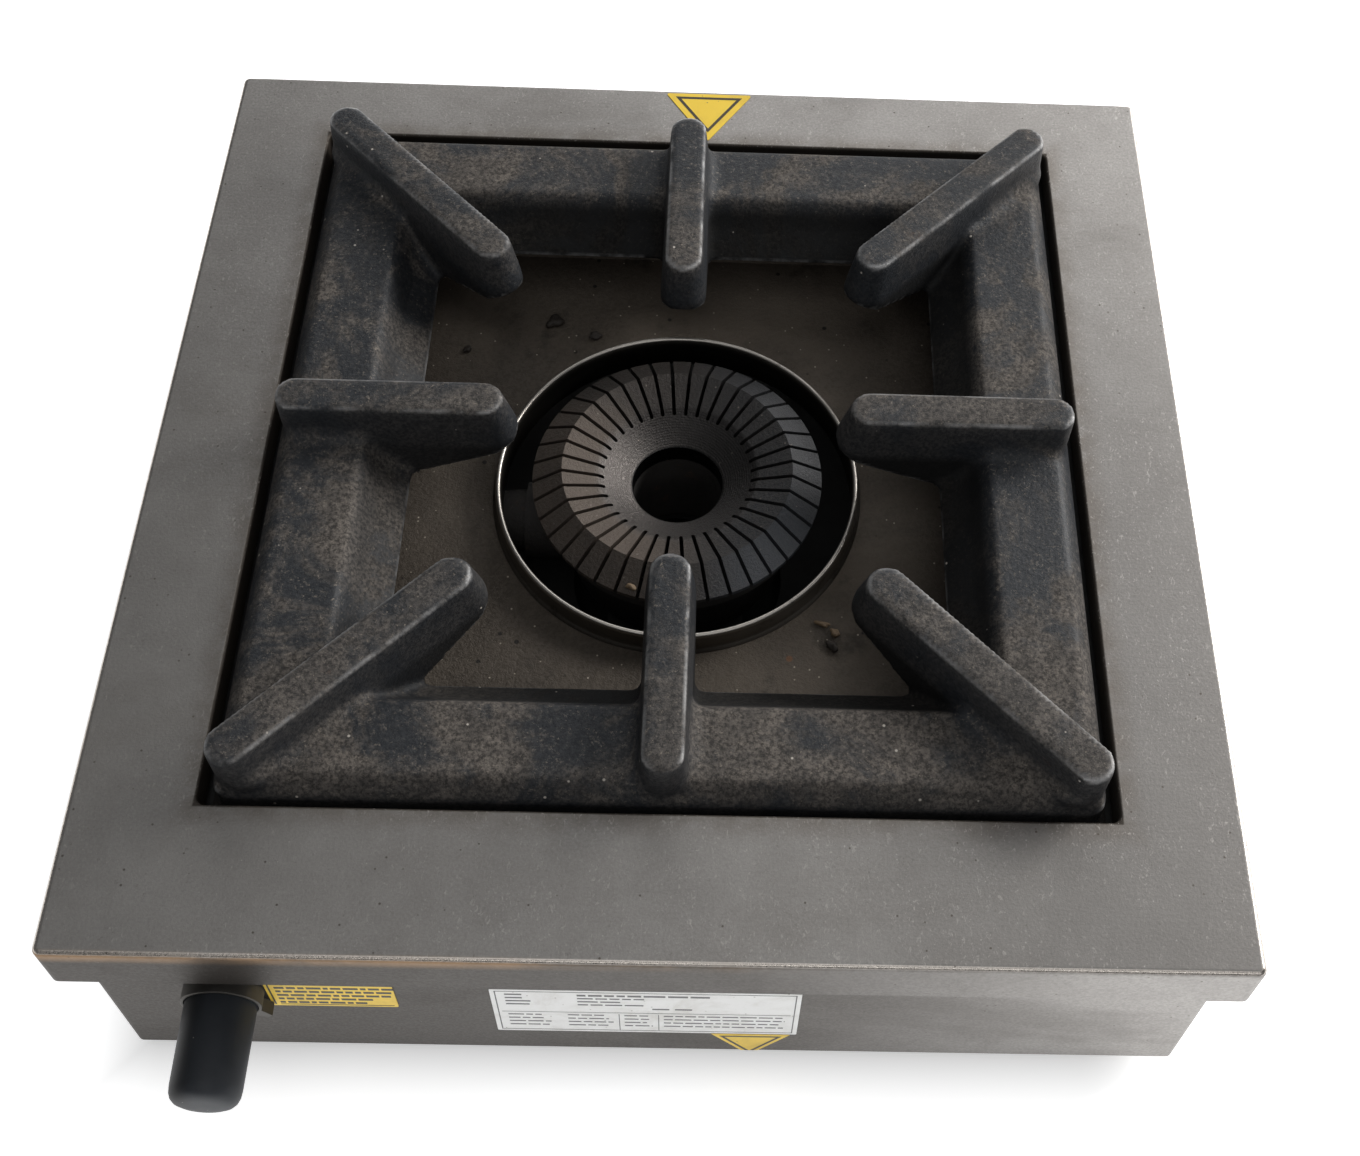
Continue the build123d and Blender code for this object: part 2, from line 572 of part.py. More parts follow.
def plate_clips():
    group = []
    for sx in (-1, 1):
        for y in (-110, 90):
            x1 = SIDE_X - SKIN - 0.05
            leg = box(min(sx * x1, sx * (x1 - 1.5)), max(sx * x1, sx * (x1 - 1.5)), y - 15, y + 15, 88,
                      PLATE_TOP - SHEET - 0.05)
            top = box(min(sx * x1, sx * (x1 - 20)), max(sx * x1, sx * (x1 - 20)), y - 15, y + 15,
                      PLATE_TOP - SHEET - 1.55, PLATE_TOP - SHEET - 0.05)
            group.append(leg + top)
    return Compound([g.solids()[0] for g in group])


def sticker_front(x0, x1, z0, z1, corner=0.8):
    flat = extrude(RectangleRounded(x1 - x0, z1 - z0, corner), 0.3)
    return Pos((x0 + x1) / 2, FRONT_Y - 0.02, (z0 + z1) / 2) * Rot(90, 0, 0) * flat


def data_plate():
    return sticker_front(-58, 50, 31.4, 74.8)


def notice_label():
    return sticker_front(-134.8, -91, 54.5, 78)


def triangle_front():
    face = make_face(Polyline([(-14.3, 0), (14.3, 0), (3.1, -18.2), (-3.1, -18.2)], close=True))
    return Pos(33.4, FRONT_Y - 0.02, 30.6) * Rot(90, 0, 0) * extrude(face, 0.3)


def triangle_top():
    face = make_face(Polyline([(-19.3, 0), (19.3, 0), (0, -29)], close=True))
    face = fillet(face.vertices(), 0.8)
    return Pos(7.8, 188.0, PLATE_TOP + 0.02) * extrude(face, 0.3)


NODES = [
    top_plate, body_shell, rear_panel, base_plate, ledge_frame, plate_clips, pan_support, drip_tray,
    burner_collar, burner_cap, burner_body, burner_bridge, venturi_tube, air_shutter, injector,
    injector_elbow, injector_bracket, gas_valve, valve_spindle, spring_cup, return_spring, valve_nut,
    knob_bezel, knob, knob_screw, burner_pipe, supply_pipe, compression_nuts, inlet_bulkhead,
    inlet_washer, inlet_locknut, hose_nipple, thermocouple_probe, thermocouple_lead, thermocouple_clip,
    casing_screws, panel_screws, bridge_screws, burner_screws, burner_nuts, rubber_feet, foot_screws,
    foot_nuts, data_plate, notice_label, triangle_front, triangle_top,
]

for make in NODES:
    out(make(), make.__name__)
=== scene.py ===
import json
import math
import random

import bmesh
import bpy
import numpy as np
from mathutils import Matrix, Vector


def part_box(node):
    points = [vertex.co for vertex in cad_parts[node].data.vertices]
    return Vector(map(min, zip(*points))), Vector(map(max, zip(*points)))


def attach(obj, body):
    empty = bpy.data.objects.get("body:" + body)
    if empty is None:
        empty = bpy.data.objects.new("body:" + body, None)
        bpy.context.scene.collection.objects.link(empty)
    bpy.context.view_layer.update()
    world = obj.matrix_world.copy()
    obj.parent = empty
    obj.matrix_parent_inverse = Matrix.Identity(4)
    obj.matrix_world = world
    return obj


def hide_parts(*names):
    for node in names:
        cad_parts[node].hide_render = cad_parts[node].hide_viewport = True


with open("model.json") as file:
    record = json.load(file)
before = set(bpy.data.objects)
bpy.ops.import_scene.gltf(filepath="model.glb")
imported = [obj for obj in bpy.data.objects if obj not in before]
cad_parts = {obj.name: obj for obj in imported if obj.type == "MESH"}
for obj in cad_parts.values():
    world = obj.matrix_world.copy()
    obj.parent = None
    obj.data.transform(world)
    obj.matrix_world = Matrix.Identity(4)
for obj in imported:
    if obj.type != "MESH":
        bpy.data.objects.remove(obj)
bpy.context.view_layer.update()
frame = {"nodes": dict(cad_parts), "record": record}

MM = 0.001

# Places that the finishes and the small pieces refer to, in metres from the burner axis and the worktop.
PLATE_TOP = 0.120       # upper face of the steel plate
PLATE_HALF = 0.200      # half its width
PLATE_FRONT = -0.2095   # front face of its folded edge
CUT_OUT = 0.157         # half the width of the opening in it
CASING_FRONT = -0.2005  # just ahead of the front panel
FRAME_TOP = 0.126       # flat of the casting's frame
FINGER_TOP = 0.142      # level that the pan rests on
FRAME_INNER = 0.1205    # half width inside the frame's flat
TRAY_FLOOR = 0.080
COLLAR_TOP = 0.0903
COLLAR_WALL = 0.0719    # radius of the middle of its wall
CAP_CREST = 0.0460      # radius where the cap's two bevels meet
CAP_DISH = 0.0345       # radius of the dished centre
CAP_BORE = 0.0182
CAP_SKIRT = 0.0905      # level below which the cap's wall is sooty
SHADE_AND_SOOT_BOTTOM = 0.012     # zinc-coated sheet is near black above this level, as soot and painted shade
SHADE_AND_SOOT_BACK = 0.181       # and ahead of this, so not on the rear panel
KNOB_X = -0.149
BODY_MIDDLE_Y = -0.009
TINY = 1e-6             # points closer than this count as one


# ---------------------------------------------------------------- finishes
class Finish:
    """A finish built from shader nodes, laid out in the object's own coordinates."""

    def __init__(self, name, **sockets):
        self.material = bpy.data.materials.new(name)
        self.material.use_nodes = True
        self.tree = self.material.node_tree
        self.shader = self.tree.nodes["Principled BSDF"]
        self.place = self.tree.nodes.new("ShaderNodeTexCoord").outputs["Object"]
        for socket, value in sockets.items():
            self.shader.inputs[socket.replace("_", " ")].default_value = value

    def feed(self, socket, value):
        """Links a socket to another, or sets it to a plain value."""
        if isinstance(value, bpy.types.NodeSocket):
            self.tree.links.new(value, socket)
        elif isinstance(value, tuple) and len(value) == 3 and socket.type == "RGBA":
            socket.default_value = (*value, 1.0)
        else:
            socket.default_value = value

    def grain(self, scale, detail=4.0, roughness=0.6, stretch=None, distortion=0.0):
        """Cloudy noise; scale is in features per metre."""
        noise = self.tree.nodes.new("ShaderNodeTexNoise")
        source = self.place
        if stretch:
            mapping = self.tree.nodes.new("ShaderNodeMapping")
            mapping.inputs["Scale"].default_value = stretch
            self.feed(mapping.inputs["Vector"], self.place)
            source = mapping.outputs["Vector"]
        self.feed(noise.inputs["Vector"], source)
        noise.inputs["Scale"].default_value = scale
        noise.inputs["Detail"].default_value = detail
        noise.inputs["Roughness"].default_value = roughness
        noise.inputs["Distortion"].default_value = distortion
        return noise.outputs["Fac"]

    def cells(self, scale, kind="Distance"):
        """Scattered cells; kind picks the distance to each middle or one colour per cell."""
        cell = self.tree.nodes.new("ShaderNodeTexVoronoi")
        self.feed(cell.inputs["Vector"], self.place)
        cell.inputs["Scale"].default_value = scale
        return cell.outputs[kind]

    def specks(self, scale, size, share):
        """Mask of small round specks, present in a share of the cells."""
        near = self.band(self.cells(scale), size, size * 0.55)
        colour = self.tree.nodes.new("ShaderNodeSeparateColor")
        self.feed(colour.inputs[0], self.cells(scale, "Color"))
        chosen = self.band(colour.outputs[0], share, share - 0.01)
        return self.times(near, chosen)

    def band(self, value, start, end):
        """Value remapped so that start gives 0 and end gives 1."""
        node = self.tree.nodes.new("ShaderNodeMapRange")
        node.interpolation_type = "SMOOTHSTEP"
        rising = start < end
        node.inputs["From Min"].default_value = start if rising else end
        node.inputs["From Max"].default_value = end if rising else start
        node.inputs["To Min"].default_value = 0.0 if rising else 1.0
        node.inputs["To Max"].default_value = 1.0 if rising else 0.0
        self.feed(node.inputs["Value"], value)
        return node.outputs["Result"]

    def spread(self, value, low, high):
        """Value from 0..1 remapped to low..high."""
        node = self.tree.nodes.new("ShaderNodeMapRange")
        node.inputs["To Min"].default_value = low
        node.inputs["To Max"].default_value = high
        self.feed(node.inputs["Value"], value)
        return node.outputs["Result"]

    def mix(self, share, under, over):
        """Colour between under and over."""
        node = self.tree.nodes.new("ShaderNodeMix")
        node.data_type = "RGBA"
        self.feed(node.inputs[0], share)
        self.feed(node.inputs[6], under)
        self.feed(node.inputs[7], over)
        return node.outputs[2]

    def calc(self, operation, a, b=0.0):
        node = self.tree.nodes.new("ShaderNodeMath")
        node.operation = operation
        self.feed(node.inputs[0], a)
        self.feed(node.inputs[1], b)
        return node.outputs[0]

    def times(self, a, b):
        return self.calc("MULTIPLY", a, b)

    def layer(self, colour, mask, share, tint):
        """Colour with a tint laid over it by a share of the mask."""
        return self.mix(self.times(mask, share), colour, tint)

    def out_from_axis(self):
        """Square distance from the burner axis: the larger of the X and Y distances."""
        x, y = (self.calc("ABSOLUTE", self.axis(letter)) for letter in "XY")
        return self.calc("MAXIMUM", x, y)

    def axis(self, letter):
        node = self.tree.nodes.new("ShaderNodeSeparateXYZ")
        self.feed(node.inputs[0], self.place)
        return node.outputs[letter]

    def facing_up(self):
        geometry = self.tree.nodes.new("ShaderNodeNewGeometry")
        node = self.tree.nodes.new("ShaderNodeSeparateXYZ")
        self.feed(node.inputs[0], geometry.outputs["Normal"])
        return node.outputs["Z"]

    def radius(self):
        """Distance from the burner axis."""
        x, y = self.axis("X"), self.axis("Y")
        return self.calc("SQRT", self.calc("ADD", self.times(x, x), self.times(y, y)))

    def painted(self, name):
        """Value stored on the mesh points."""
        node = self.tree.nodes.new("ShaderNodeAttribute")
        node.attribute_name = name
        return node.outputs["Fac"]

    def relief(self, height, depth, strength=1.0, over=None):
        """Bump from a height, on top of another bump if one is given."""
        bump = self.tree.nodes.new("ShaderNodeBump")
        bump.inputs["Strength"].default_value = strength
        bump.inputs["Distance"].default_value = depth
        self.feed(bump.inputs["Height"], height)
        if over is not None:
            self.feed(bump.inputs["Normal"], over)
        return bump.outputs["Normal"]

    def finish(self, colour=None, roughness=None, metallic=None, normal=None):
        for socket, value in (("Base Color", colour), ("Roughness", roughness), ("Metallic", metallic),
                              ("Normal", normal)):
            if value is not None:
                self.feed(self.shader.inputs[socket], value)
        return self.material


def satin_stainless():
    """Dull steel: clouds, smears left by wiping, fine grain, heat tint on the front fold, dirt by the
    opening, painted shade on the upright faces, at the left and on the top's right front, and a painted
    highlight on the outer folds.
    """
    f = Finish("satin_stainless", Metallic=1.0)
    cloud = f.grain(5.0, 6.0, 0.62)
    smear = f.band(f.grain(13.0, 6.0, 0.65, stretch=(0.5, 1.0, 1.0), distortion=0.6), 0.48, 0.70)
    haze = f.band(f.grain(900.0, 3.0, 0.7), 0.30, 0.70)
    peppered = f.band(f.grain(380.0, 5.0, 0.8), 0.60, 0.72)
    mottle = f.band(f.grain(42.0, 7.0, 0.72, distortion=0.4), 0.36, 0.64)
    colour = f.mix(cloud, (0.272, 0.255, 0.239), (0.424, 0.409, 0.394))
    colour = f.layer(colour, mottle, 0.30, (0.474, 0.458, 0.440))
    colour = f.layer(colour, smear, 0.42, (0.215, 0.202, 0.188))
    colour = f.layer(colour, haze, 0.30, (0.16, 0.155, 0.15))
    colour = f.layer(colour, peppered, 0.45, (0.13, 0.118, 0.105))
    # painted shade: upright faces darker, most of all at the left and in front
    side = f.band(f.facing_up(), 0.75, 0.25)
    # painted shade: upright faces darker towards the left
    darkening = f.times(side, f.band(f.axis("X"), 0.20, -0.16))
    colour = f.layer(colour, side, 0.12, (0.120, 0.112, 0.104))
    # painted shade: the top darker towards its right front
    shade_right_front = f.times(f.band(f.axis("X"), 0.020, 0.180), f.band(f.axis("Y"), 0.170, -0.060))
    shade_right_front = f.times(shade_right_front, f.band(side, 1.0, 0.0))
    colour = f.layer(colour, shade_right_front, 0.50, (0.140, 0.133, 0.127))
    colour = f.layer(colour, darkening, 0.84, (0.062, 0.054, 0.047))
    # painted shade on the left of the front fold and front panel
    ahead = f.times(side, f.band(f.axis("Y"), CASING_FRONT + 0.0045, CASING_FRONT))
    ahead = f.times(ahead, f.band(f.axis("X"), 0.175, -0.010))
    colour = f.layer(colour, ahead, 0.62, (0.042, 0.036, 0.031))
    # brown heat tint along the left of the front fold
    front = f.band(f.axis("Y"), PLATE_FRONT + 0.0025, PLATE_FRONT + 0.0003)
    brown = f.times(front, f.band(f.axis("Z"), PLATE_TOP - 0.0080, PLATE_TOP - 0.0018))
    brown = f.times(brown, f.band(f.grain(22.0, 4.0, 0.6), 0.30, 0.62))
    brown = f.times(brown, f.band(f.axis("X"), 0.070, -0.080))
    colour = f.layer(colour, brown, 0.75, (0.330, 0.215, 0.125))
    # burnt-on dirt round the opening, soot down inside it, a painted highlight on the outer folds
    square = f.out_from_axis()
    near_rim = f.band(square, CUT_OUT + 0.0110, CUT_OUT + 0.0002)
    rim = f.times(near_rim, f.band(f.grain(50.0, 5.0, 0.7), 0.28, 0.62))
    colour = f.layer(colour, rim, 0.45, (0.130, 0.102, 0.076))
    turned_down = f.band(square, CUT_OUT + 0.0013, CUT_OUT + 0.0005)
    colour = f.layer(colour, turned_down, 0.85, (0.055, 0.046, 0.038))
    # painted highlight: a lighter, smoother band along the rounded outer folds
    edge = f.times(f.band(f.facing_up(), 0.985, 0.93), f.band(f.facing_up(), 0.45, 0.70))
    edge = f.times(edge, f.band(square, PLATE_HALF - 0.010, PLATE_HALF - 0.006))
    colour = f.layer(colour, edge, 0.8, (0.700, 0.640, 0.580))
    # dark pits, short pale hairs and bright specks
    fine = f.specks(330.0, 0.17, 0.10)
    colour = f.layer(colour, fine, 0.75, (0.070, 0.055, 0.042))
    hairs = f.band(f.grain(860.0, 3.0, 0.55, stretch=(1.0, 0.55, 1.0), distortion=1.4), 0.60, 0.68)
    hairs = f.times(hairs, f.band(f.grain(30.0, 4.0, 0.7), 0.28, 0.60))
    hairs = f.times(hairs, f.band(side, 0.8, 0.1))
    colour = f.layer(colour, hairs, 0.45, (0.600, 0.572, 0.540))
    bright = f.specks(340.0, 0.11, 0.12)
    bright = f.times(bright, f.spread(side, 0.6, 0.15))
    colour = f.mix(bright, colour, (0.62, 0.60, 0.57))
    rough = f.calc("ADD", f.spread(cloud, 0.40, 0.50), f.times(smear, 0.08))
    rough = f.calc("ADD", rough, f.times(haze, 0.08))
    rough = f.calc("ADD", rough, f.times(turned_down, 0.25))
    rough = f.calc("SUBTRACT", rough, f.times(edge, 0.24))
    lines = f.grain(9.0, 3.0, 0.5, stretch=(1.0, 90.0, 90.0))
    normal = f.relief(haze, 0.00005, 0.45)
    normal = f.relief(lines, 0.00008, 0.25, normal)
    normal = f.relief(f.grain(7.0, 2.0), 0.0010, 0.35, normal)
    return f.finish(colour, rough, normal=normal)


def dusty_cast_iron():
    """Blue-black iron with patches of brown dust, pale grit, a little rust, rubbed edges lightened partly as
    painted highlight, and painted shade with some soot on the frame's inner slopes.
    """
    f = Finish("dusty_cast_iron", Specular_IOR_Level=0.28)
    cloud = f.grain(20.0, 9.0, 0.72, distortion=0.6)
    patch = f.band(f.calc("SUBTRACT", cloud, f.times(f.axis("Y"), 0.22)), 0.42, 0.55)
    broad = f.grain(7.0, 4.0, 0.6)
    crumb = f.band(f.grain(680.0, 4.0, 0.72), 0.36, 0.64)
    blotch = f.band(f.grain(95.0, 7.0, 0.72), 0.36, 0.62)
    up = f.band(f.facing_up(), 0.10, 0.85)
    colour = f.mix(broad, (0.011, 0.013, 0.016), (0.026, 0.029, 0.034))
    colour = f.layer(colour, crumb, 0.30, (0.072, 0.074, 0.079))
    dust = f.times(patch, f.spread(up, 0.22, 0.95))
    rubbed = f.band(f.axis("Z"), FINGER_TOP - 0.0030, FINGER_TOP - 0.0008)
    dust = f.times(dust, f.spread(rubbed, 1.0, 0.78))
    brown = f.mix(crumb, (0.040, 0.035, 0.031), (0.180, 0.158, 0.138))
    brown = f.mix(f.times(blotch, 0.50), brown, (0.034, 0.032, 0.031))
    colour = f.mix(dust, colour, brown)
    pale = f.times(f.band(f.grain(520.0, 6.0, 0.9), 0.55, 0.66), f.spread(up, 0.15, 1.0))
    colour = f.layer(colour, pale, 0.82, (0.265, 0.230, 0.192))
    rust = f.band(f.grain(48.0, 6.0, 0.7), 0.66, 0.76)
    colour = f.layer(colour, rust, 0.25, (0.150, 0.070, 0.035))
    # painted shade with some soot: the frame's inner slopes near black, more away from the left
    below = f.band(f.axis("Z"), FRAME_TOP - 0.0010, FRAME_TOP - 0.0070)
    inward = f.times(below, f.band(f.out_from_axis(), FRAME_INNER + 0.0030, FRAME_INNER))
    inward = f.times(inward, f.spread(f.band(f.axis("X"), -0.112, -0.060), 0.35, 1.0))
    colour = f.layer(colour, inward, 0.85, (0.005, 0.005, 0.005))
    # rubbed edges: lighter partly as wear, partly as painted highlight
    worn = f.times(f.painted("wear"), f.band(f.grain(90.0, 5.0, 0.65), 0.34, 0.66))
    colour = f.layer(colour, worn, 0.88, (0.490, 0.488, 0.488))
    grit = f.specks(250.0, 0.16, 0.05)
    colour = f.mix(grit, colour, (0.50, 0.46, 0.41))
    rough = f.calc("SUBTRACT", f.spread(dust, 0.46, 0.80), f.times(worn, 0.16))
    rough = f.calc("ADD", rough, f.times(inward, 0.25))
    normal = f.relief(f.grain(760.0, 4.0, 0.7), 0.00040, 0.75)
    normal = f.relief(f.grain(150.0, 5.0, 0.65), 0.0006, 0.45, normal)
    normal = f.relief(f.grain(24.0, 3.0, 0.5), 0.0016, 0.25, normal)
    return f.finish(colour, rough, f.times(worn, 0.75), normal)


def oxidised_cap_iron():
    """Cap iron, heat-browned at the left, with painted light on its left, crest and outer bevel, painted
    shade at the right, behind and in the bore, and a turned and brighter dish.
    """
    f = Finish("oxidised_cap_iron")
    # painted light: the cap lighter at the left and darker at the right; the brown at the left is heat tint
    side = f.band(f.axis("X"), -0.014, 0.030)
    mottled = f.grain(60.0, 6.0, 0.7)
    crumb = f.band(f.grain(800.0, 4.0, 0.7), 0.35, 0.65)
    colour = f.mix(side, (0.062, 0.048, 0.038), (0.026, 0.028, 0.032))
    colour = f.layer(colour, f.band(mottled, 0.42, 0.68), 0.5, (0.022, 0.019, 0.017))
    colour = f.layer(colour, crumb, 0.30, (0.110, 0.096, 0.084))
    radius = f.radius()
    # painted light: the left of the crest lighter
    crest = f.band(radius, CAP_CREST + 0.0003, CAP_CREST - 0.0003)
    crest = f.times(crest, f.band(f.axis("X"), 0.012, -0.022))
    colour = f.layer(colour, crest, 0.62, (0.108, 0.084, 0.067))
    # painted light: the right of the outer bevel lighter blue-grey
    outer = f.band(radius, CAP_CREST - 0.0003, CAP_CREST + 0.0003)
    outer = f.times(outer, f.band(f.axis("X"), 0.002, 0.034))
    colour = f.layer(colour, outer, 0.60, (0.085, 0.092, 0.104))
    dish = f.band(radius, CAP_DISH, CAP_DISH - 0.0045)
    colour = f.layer(colour, dish, 0.75, (0.108, 0.102, 0.099))
    shade = f.calc("ADD", f.axis("Y"), f.times(f.axis("X"), 0.55))
    # painted shade: the cap darker towards its back and right
    shade_behind = f.times(f.band(shade, -0.004, 0.026), f.spread(f.grain(45.0, 5.0, 0.7), 0.50, 1.0))
    colour = f.layer(colour, shade_behind, 0.88, (0.010, 0.009, 0.009))
    skirt = f.band(f.axis("Z"), CAP_SKIRT, CAP_SKIRT - 0.0025)
    skirt = f.times(skirt, f.band(radius, CAP_CREST - 0.001, CAP_CREST + 0.004))
    colour = f.mix(skirt, colour, (0.010, 0.009, 0.009))
    # painted shade: near black inside the bore
    bore = f.band(radius, CAP_BORE + 0.0008, CAP_BORE)
    colour = f.mix(bore, colour, (0.006, 0.006, 0.006))
    grit = f.specks(420.0, 0.20, 0.08)
    colour = f.layer(colour, grit, 0.5, (0.25, 0.22, 0.19))
    rings = f.times(f.calc("SINE", f.times(radius, 7000.0)), dish)
    normal = f.relief(rings, 0.00005, 0.6)
    normal = f.relief(crumb, 0.00022, 0.6, normal)
    rough = f.calc("SUBTRACT", f.spread(mottled, 0.46, 0.64), f.times(dish, 0.18))
    return f.finish(colour, rough, f.spread(dish, 0.30, 0.85), normal)


def sooty_burner_iron():
    """Burner body iron, black with soot and some rust."""
    f = Finish("sooty_burner_iron", Metallic=0.15)
    soot = f.grain(40.0, 6.0, 0.7)
    colour = f.mix(soot, (0.014, 0.013, 0.013), (0.052, 0.046, 0.041))
    rust = f.band(f.grain(70.0, 6.0, 0.7), 0.60, 0.74)
    colour = f.layer(colour, rust, 0.5, (0.13, 0.062, 0.030))
    normal = f.relief(f.grain(420.0, 5.0, 0.75), 0.0005, 0.7)
    return f.finish(colour, f.spread(soot, 0.62, 0.85), normal=normal)


def baked_tray_enamel():
    """Tray enamel, browned, with burnt patches, rust spots and pale grit; black on the walls."""
    f = Finish("baked_tray_enamel", Specular_IOR_Level=0.30)
    stain = f.grain(11.0, 7.0, 0.66, distortion=0.8)
    crumb = f.band(f.grain(620.0, 4.0, 0.7), 0.35, 0.65)
    colour = f.mix(f.band(stain, 0.32, 0.70), (0.050, 0.040, 0.031), (0.112, 0.092, 0.072))
    colour = f.layer(colour, crumb, 0.38, (0.118, 0.100, 0.081))
    burnt = f.band(f.grain(26.0, 7.0, 0.72), 0.56, 0.70)
    colour = f.layer(colour, burnt, 0.6, (0.014, 0.012, 0.010))
    rust = f.specks(90.0, 0.16, 0.10)
    colour = f.layer(colour, rust, 0.6, (0.20, 0.085, 0.035))
    black = f.specks(150.0, 0.18, 0.16)
    colour = f.layer(colour, black, 0.9, (0.008, 0.007, 0.006))
    pale = f.specks(320.0, 0.15, 0.22)
    colour = f.layer(colour, pale, 0.9, (0.42, 0.37, 0.30))
    wall = f.band(f.axis("Z"), TRAY_FLOOR + 0.0015, TRAY_FLOOR + 0.0040)
    colour = f.layer(colour, wall, 0.85, (0.010, 0.009, 0.009))
    normal = f.relief(crumb, 0.00025, 0.6)
    normal = f.relief(f.grain(40.0, 4.0), 0.0007, 0.3, normal)
    return f.finish(colour, f.spread(stain, 0.42, 0.75), 0.15, normal)


def heat_stained_collar():
    """Thin steel ring, stained, darker on its inner face below the rim, lighter and smoother on its rim."""
    f = Finish("heat_stained_collar", Metallic=1.0)
    stain = f.grain(30.0, 6.0, 0.65, stretch=(1.0, 1.0, 2.5))
    rim = f.band(f.axis("Z"), COLLAR_TOP - 0.0023, COLLAR_TOP - 0.0001)
    colour = f.mix(stain, (0.110, 0.099, 0.086), (0.240, 0.220, 0.195))
    low = f.band(f.axis("Z"), COLLAR_TOP - 0.0008, COLLAR_TOP - 0.0043)
    inside = f.times(f.band(f.radius(), COLLAR_WALL + 0.0003, COLLAR_WALL - 0.0003), low)
    colour = f.layer(colour, inside, 0.8, (0.020, 0.018, 0.016))
    colour = f.layer(colour, rim, 0.85, (0.50, 0.47, 0.43))
    colour = f.layer(colour, f.band(f.grain(90.0, 5.0, 0.7), 0.55, 0.70), 0.5, (0.045, 0.035, 0.028))
    rough = f.calc("SUBTRACT", f.spread(stain, 0.40, 0.58), f.times(rim, 0.14))
    normal = f.relief(f.grain(500.0, 3.0, 0.7), 0.00008, 0.5)
    return f.finish(colour, rough, normal=normal)


def satin_black_plastic():
    """Knob plastic with scuffs and dust, with painted shade down its left side."""
    f = Finish("satin_black_plastic", Specular_IOR_Level=0.30)
    scuff = f.grain(70.0, 6.0, 0.7)
    dust = f.band(f.grain(900.0, 4.0, 0.8), 0.60, 0.78)
    colour = f.mix(scuff, (0.0210, 0.0240, 0.0290), (0.0430, 0.0480, 0.0560))
    # painted shade down the left side of the knob
    shade_left = f.band(f.axis("X"), KNOB_X - 0.001, KNOB_X - 0.008)
    colour = f.layer(colour, shade_left, 0.75, (0.0030, 0.0030, 0.0035))
    colour = f.layer(colour, dust, 0.35, (0.075, 0.072, 0.068))
    colour = f.mix(f.specks(600.0, 0.16, 0.07), colour, (0.24, 0.23, 0.21))
    rough = f.spread(scuff, 0.44, 0.58)
    normal = f.relief(f.grain(1500.0, 3.0, 0.6), 0.00005, 0.5)
    normal = f.relief(f.grain(90.0, 3.0), 0.0002, 0.3, normal)
    return f.finish(colour, rough, normal=normal)


def grey_bezel_metal():
    """Dull grey metal behind the knob."""
    f = Finish("grey_bezel_metal", Metallic=1.0)
    stain = f.grain(120.0, 5.0, 0.7)
    colour = f.mix(stain, (0.070, 0.066, 0.061), (0.150, 0.143, 0.133))
    normal = f.relief(f.grain(900.0, 3.0), 0.00006, 0.5)
    return f.finish(colour, f.spread(stain, 0.50, 0.64), normal=normal)


def zinc_sheet():
    """Zinc-coated sheet with spangles, near black inside the casing as soot and painted shade."""
    f = Finish("zinc_sheet", Metallic=0.9)
    spangle = f.tree.nodes.new("ShaderNodeSeparateColor")
    f.feed(spangle.inputs[0], f.cells(95.0, "Color"))
    cloud = f.grain(9.0, 5.0, 0.6)
    colour = f.mix(spangle.outputs[0], (0.30, 0.31, 0.315), (0.44, 0.45, 0.455))
    colour = f.layer(colour, f.band(cloud, 0.45, 0.70), 0.4, (0.22, 0.205, 0.185))
    # soot and painted shade: the sheet inside the casing near black
    soot_and_shade_zone = f.times(f.band(f.axis("Z"), SHADE_AND_SOOT_BOTTOM - 0.0002, SHADE_AND_SOOT_BOTTOM + 0.0002),
                       f.band(f.axis("Y"), SHADE_AND_SOOT_BACK + 0.0005, SHADE_AND_SOOT_BACK - 0.0005))
    soot = f.times(f.spread(f.grain(30.0, 5.0, 0.7), 0.86, 1.0), soot_and_shade_zone)
    colour = f.mix(soot, colour, (0.012, 0.011, 0.010))
    rough = f.calc("ADD", f.spread(spangle.outputs[0], 0.34, 0.55), f.times(soot, 0.30))
    normal = f.relief(f.grain(500.0, 3.0, 0.6), 0.00006, 0.5)
    return f.finish(colour, rough, f.spread(soot, 0.9, 0.1), normal=normal)


def bright_zinc():
    """Plated screws, nuts and the spring."""
    f = Finish("bright_zinc", Metallic=1.0)
    cloud = f.grain(160.0, 5.0, 0.7)
    colour = f.mix(cloud, (0.36, 0.355, 0.33), (0.58, 0.575, 0.55))
    normal = f.relief(f.grain(1200.0, 3.0), 0.00005, 0.5)
    return f.finish(colour, f.spread(cloud, 0.26, 0.44), normal=normal)


def dull_brass():
    """Gas fittings, slightly tarnished."""
    f = Finish("dull_brass", Metallic=1.0)
    cloud = f.grain(110.0, 6.0, 0.7)
    colour = f.mix(cloud, (0.34, 0.235, 0.095), (0.62, 0.455, 0.205))
    colour = f.layer(colour, f.band(cloud, 0.55, 0.70), 0.4, (0.20, 0.13, 0.065))
    normal = f.relief(f.grain(1100.0, 3.0), 0.00006, 0.5)
    return f.finish(colour, f.spread(cloud, 0.28, 0.46), normal=normal)


def aged_copper():
    """Copper pipe and lead."""
    f = Finish("aged_copper", Metallic=1.0)
    cloud = f.grain(70.0, 6.0, 0.7)
    colour = f.mix(cloud, (0.24, 0.105, 0.055), (0.60, 0.285, 0.165))
    normal = f.relief(f.grain(800.0, 3.0), 0.00006, 0.5)
    return f.finish(colour, f.spread(cloud, 0.28, 0.48), normal=normal)


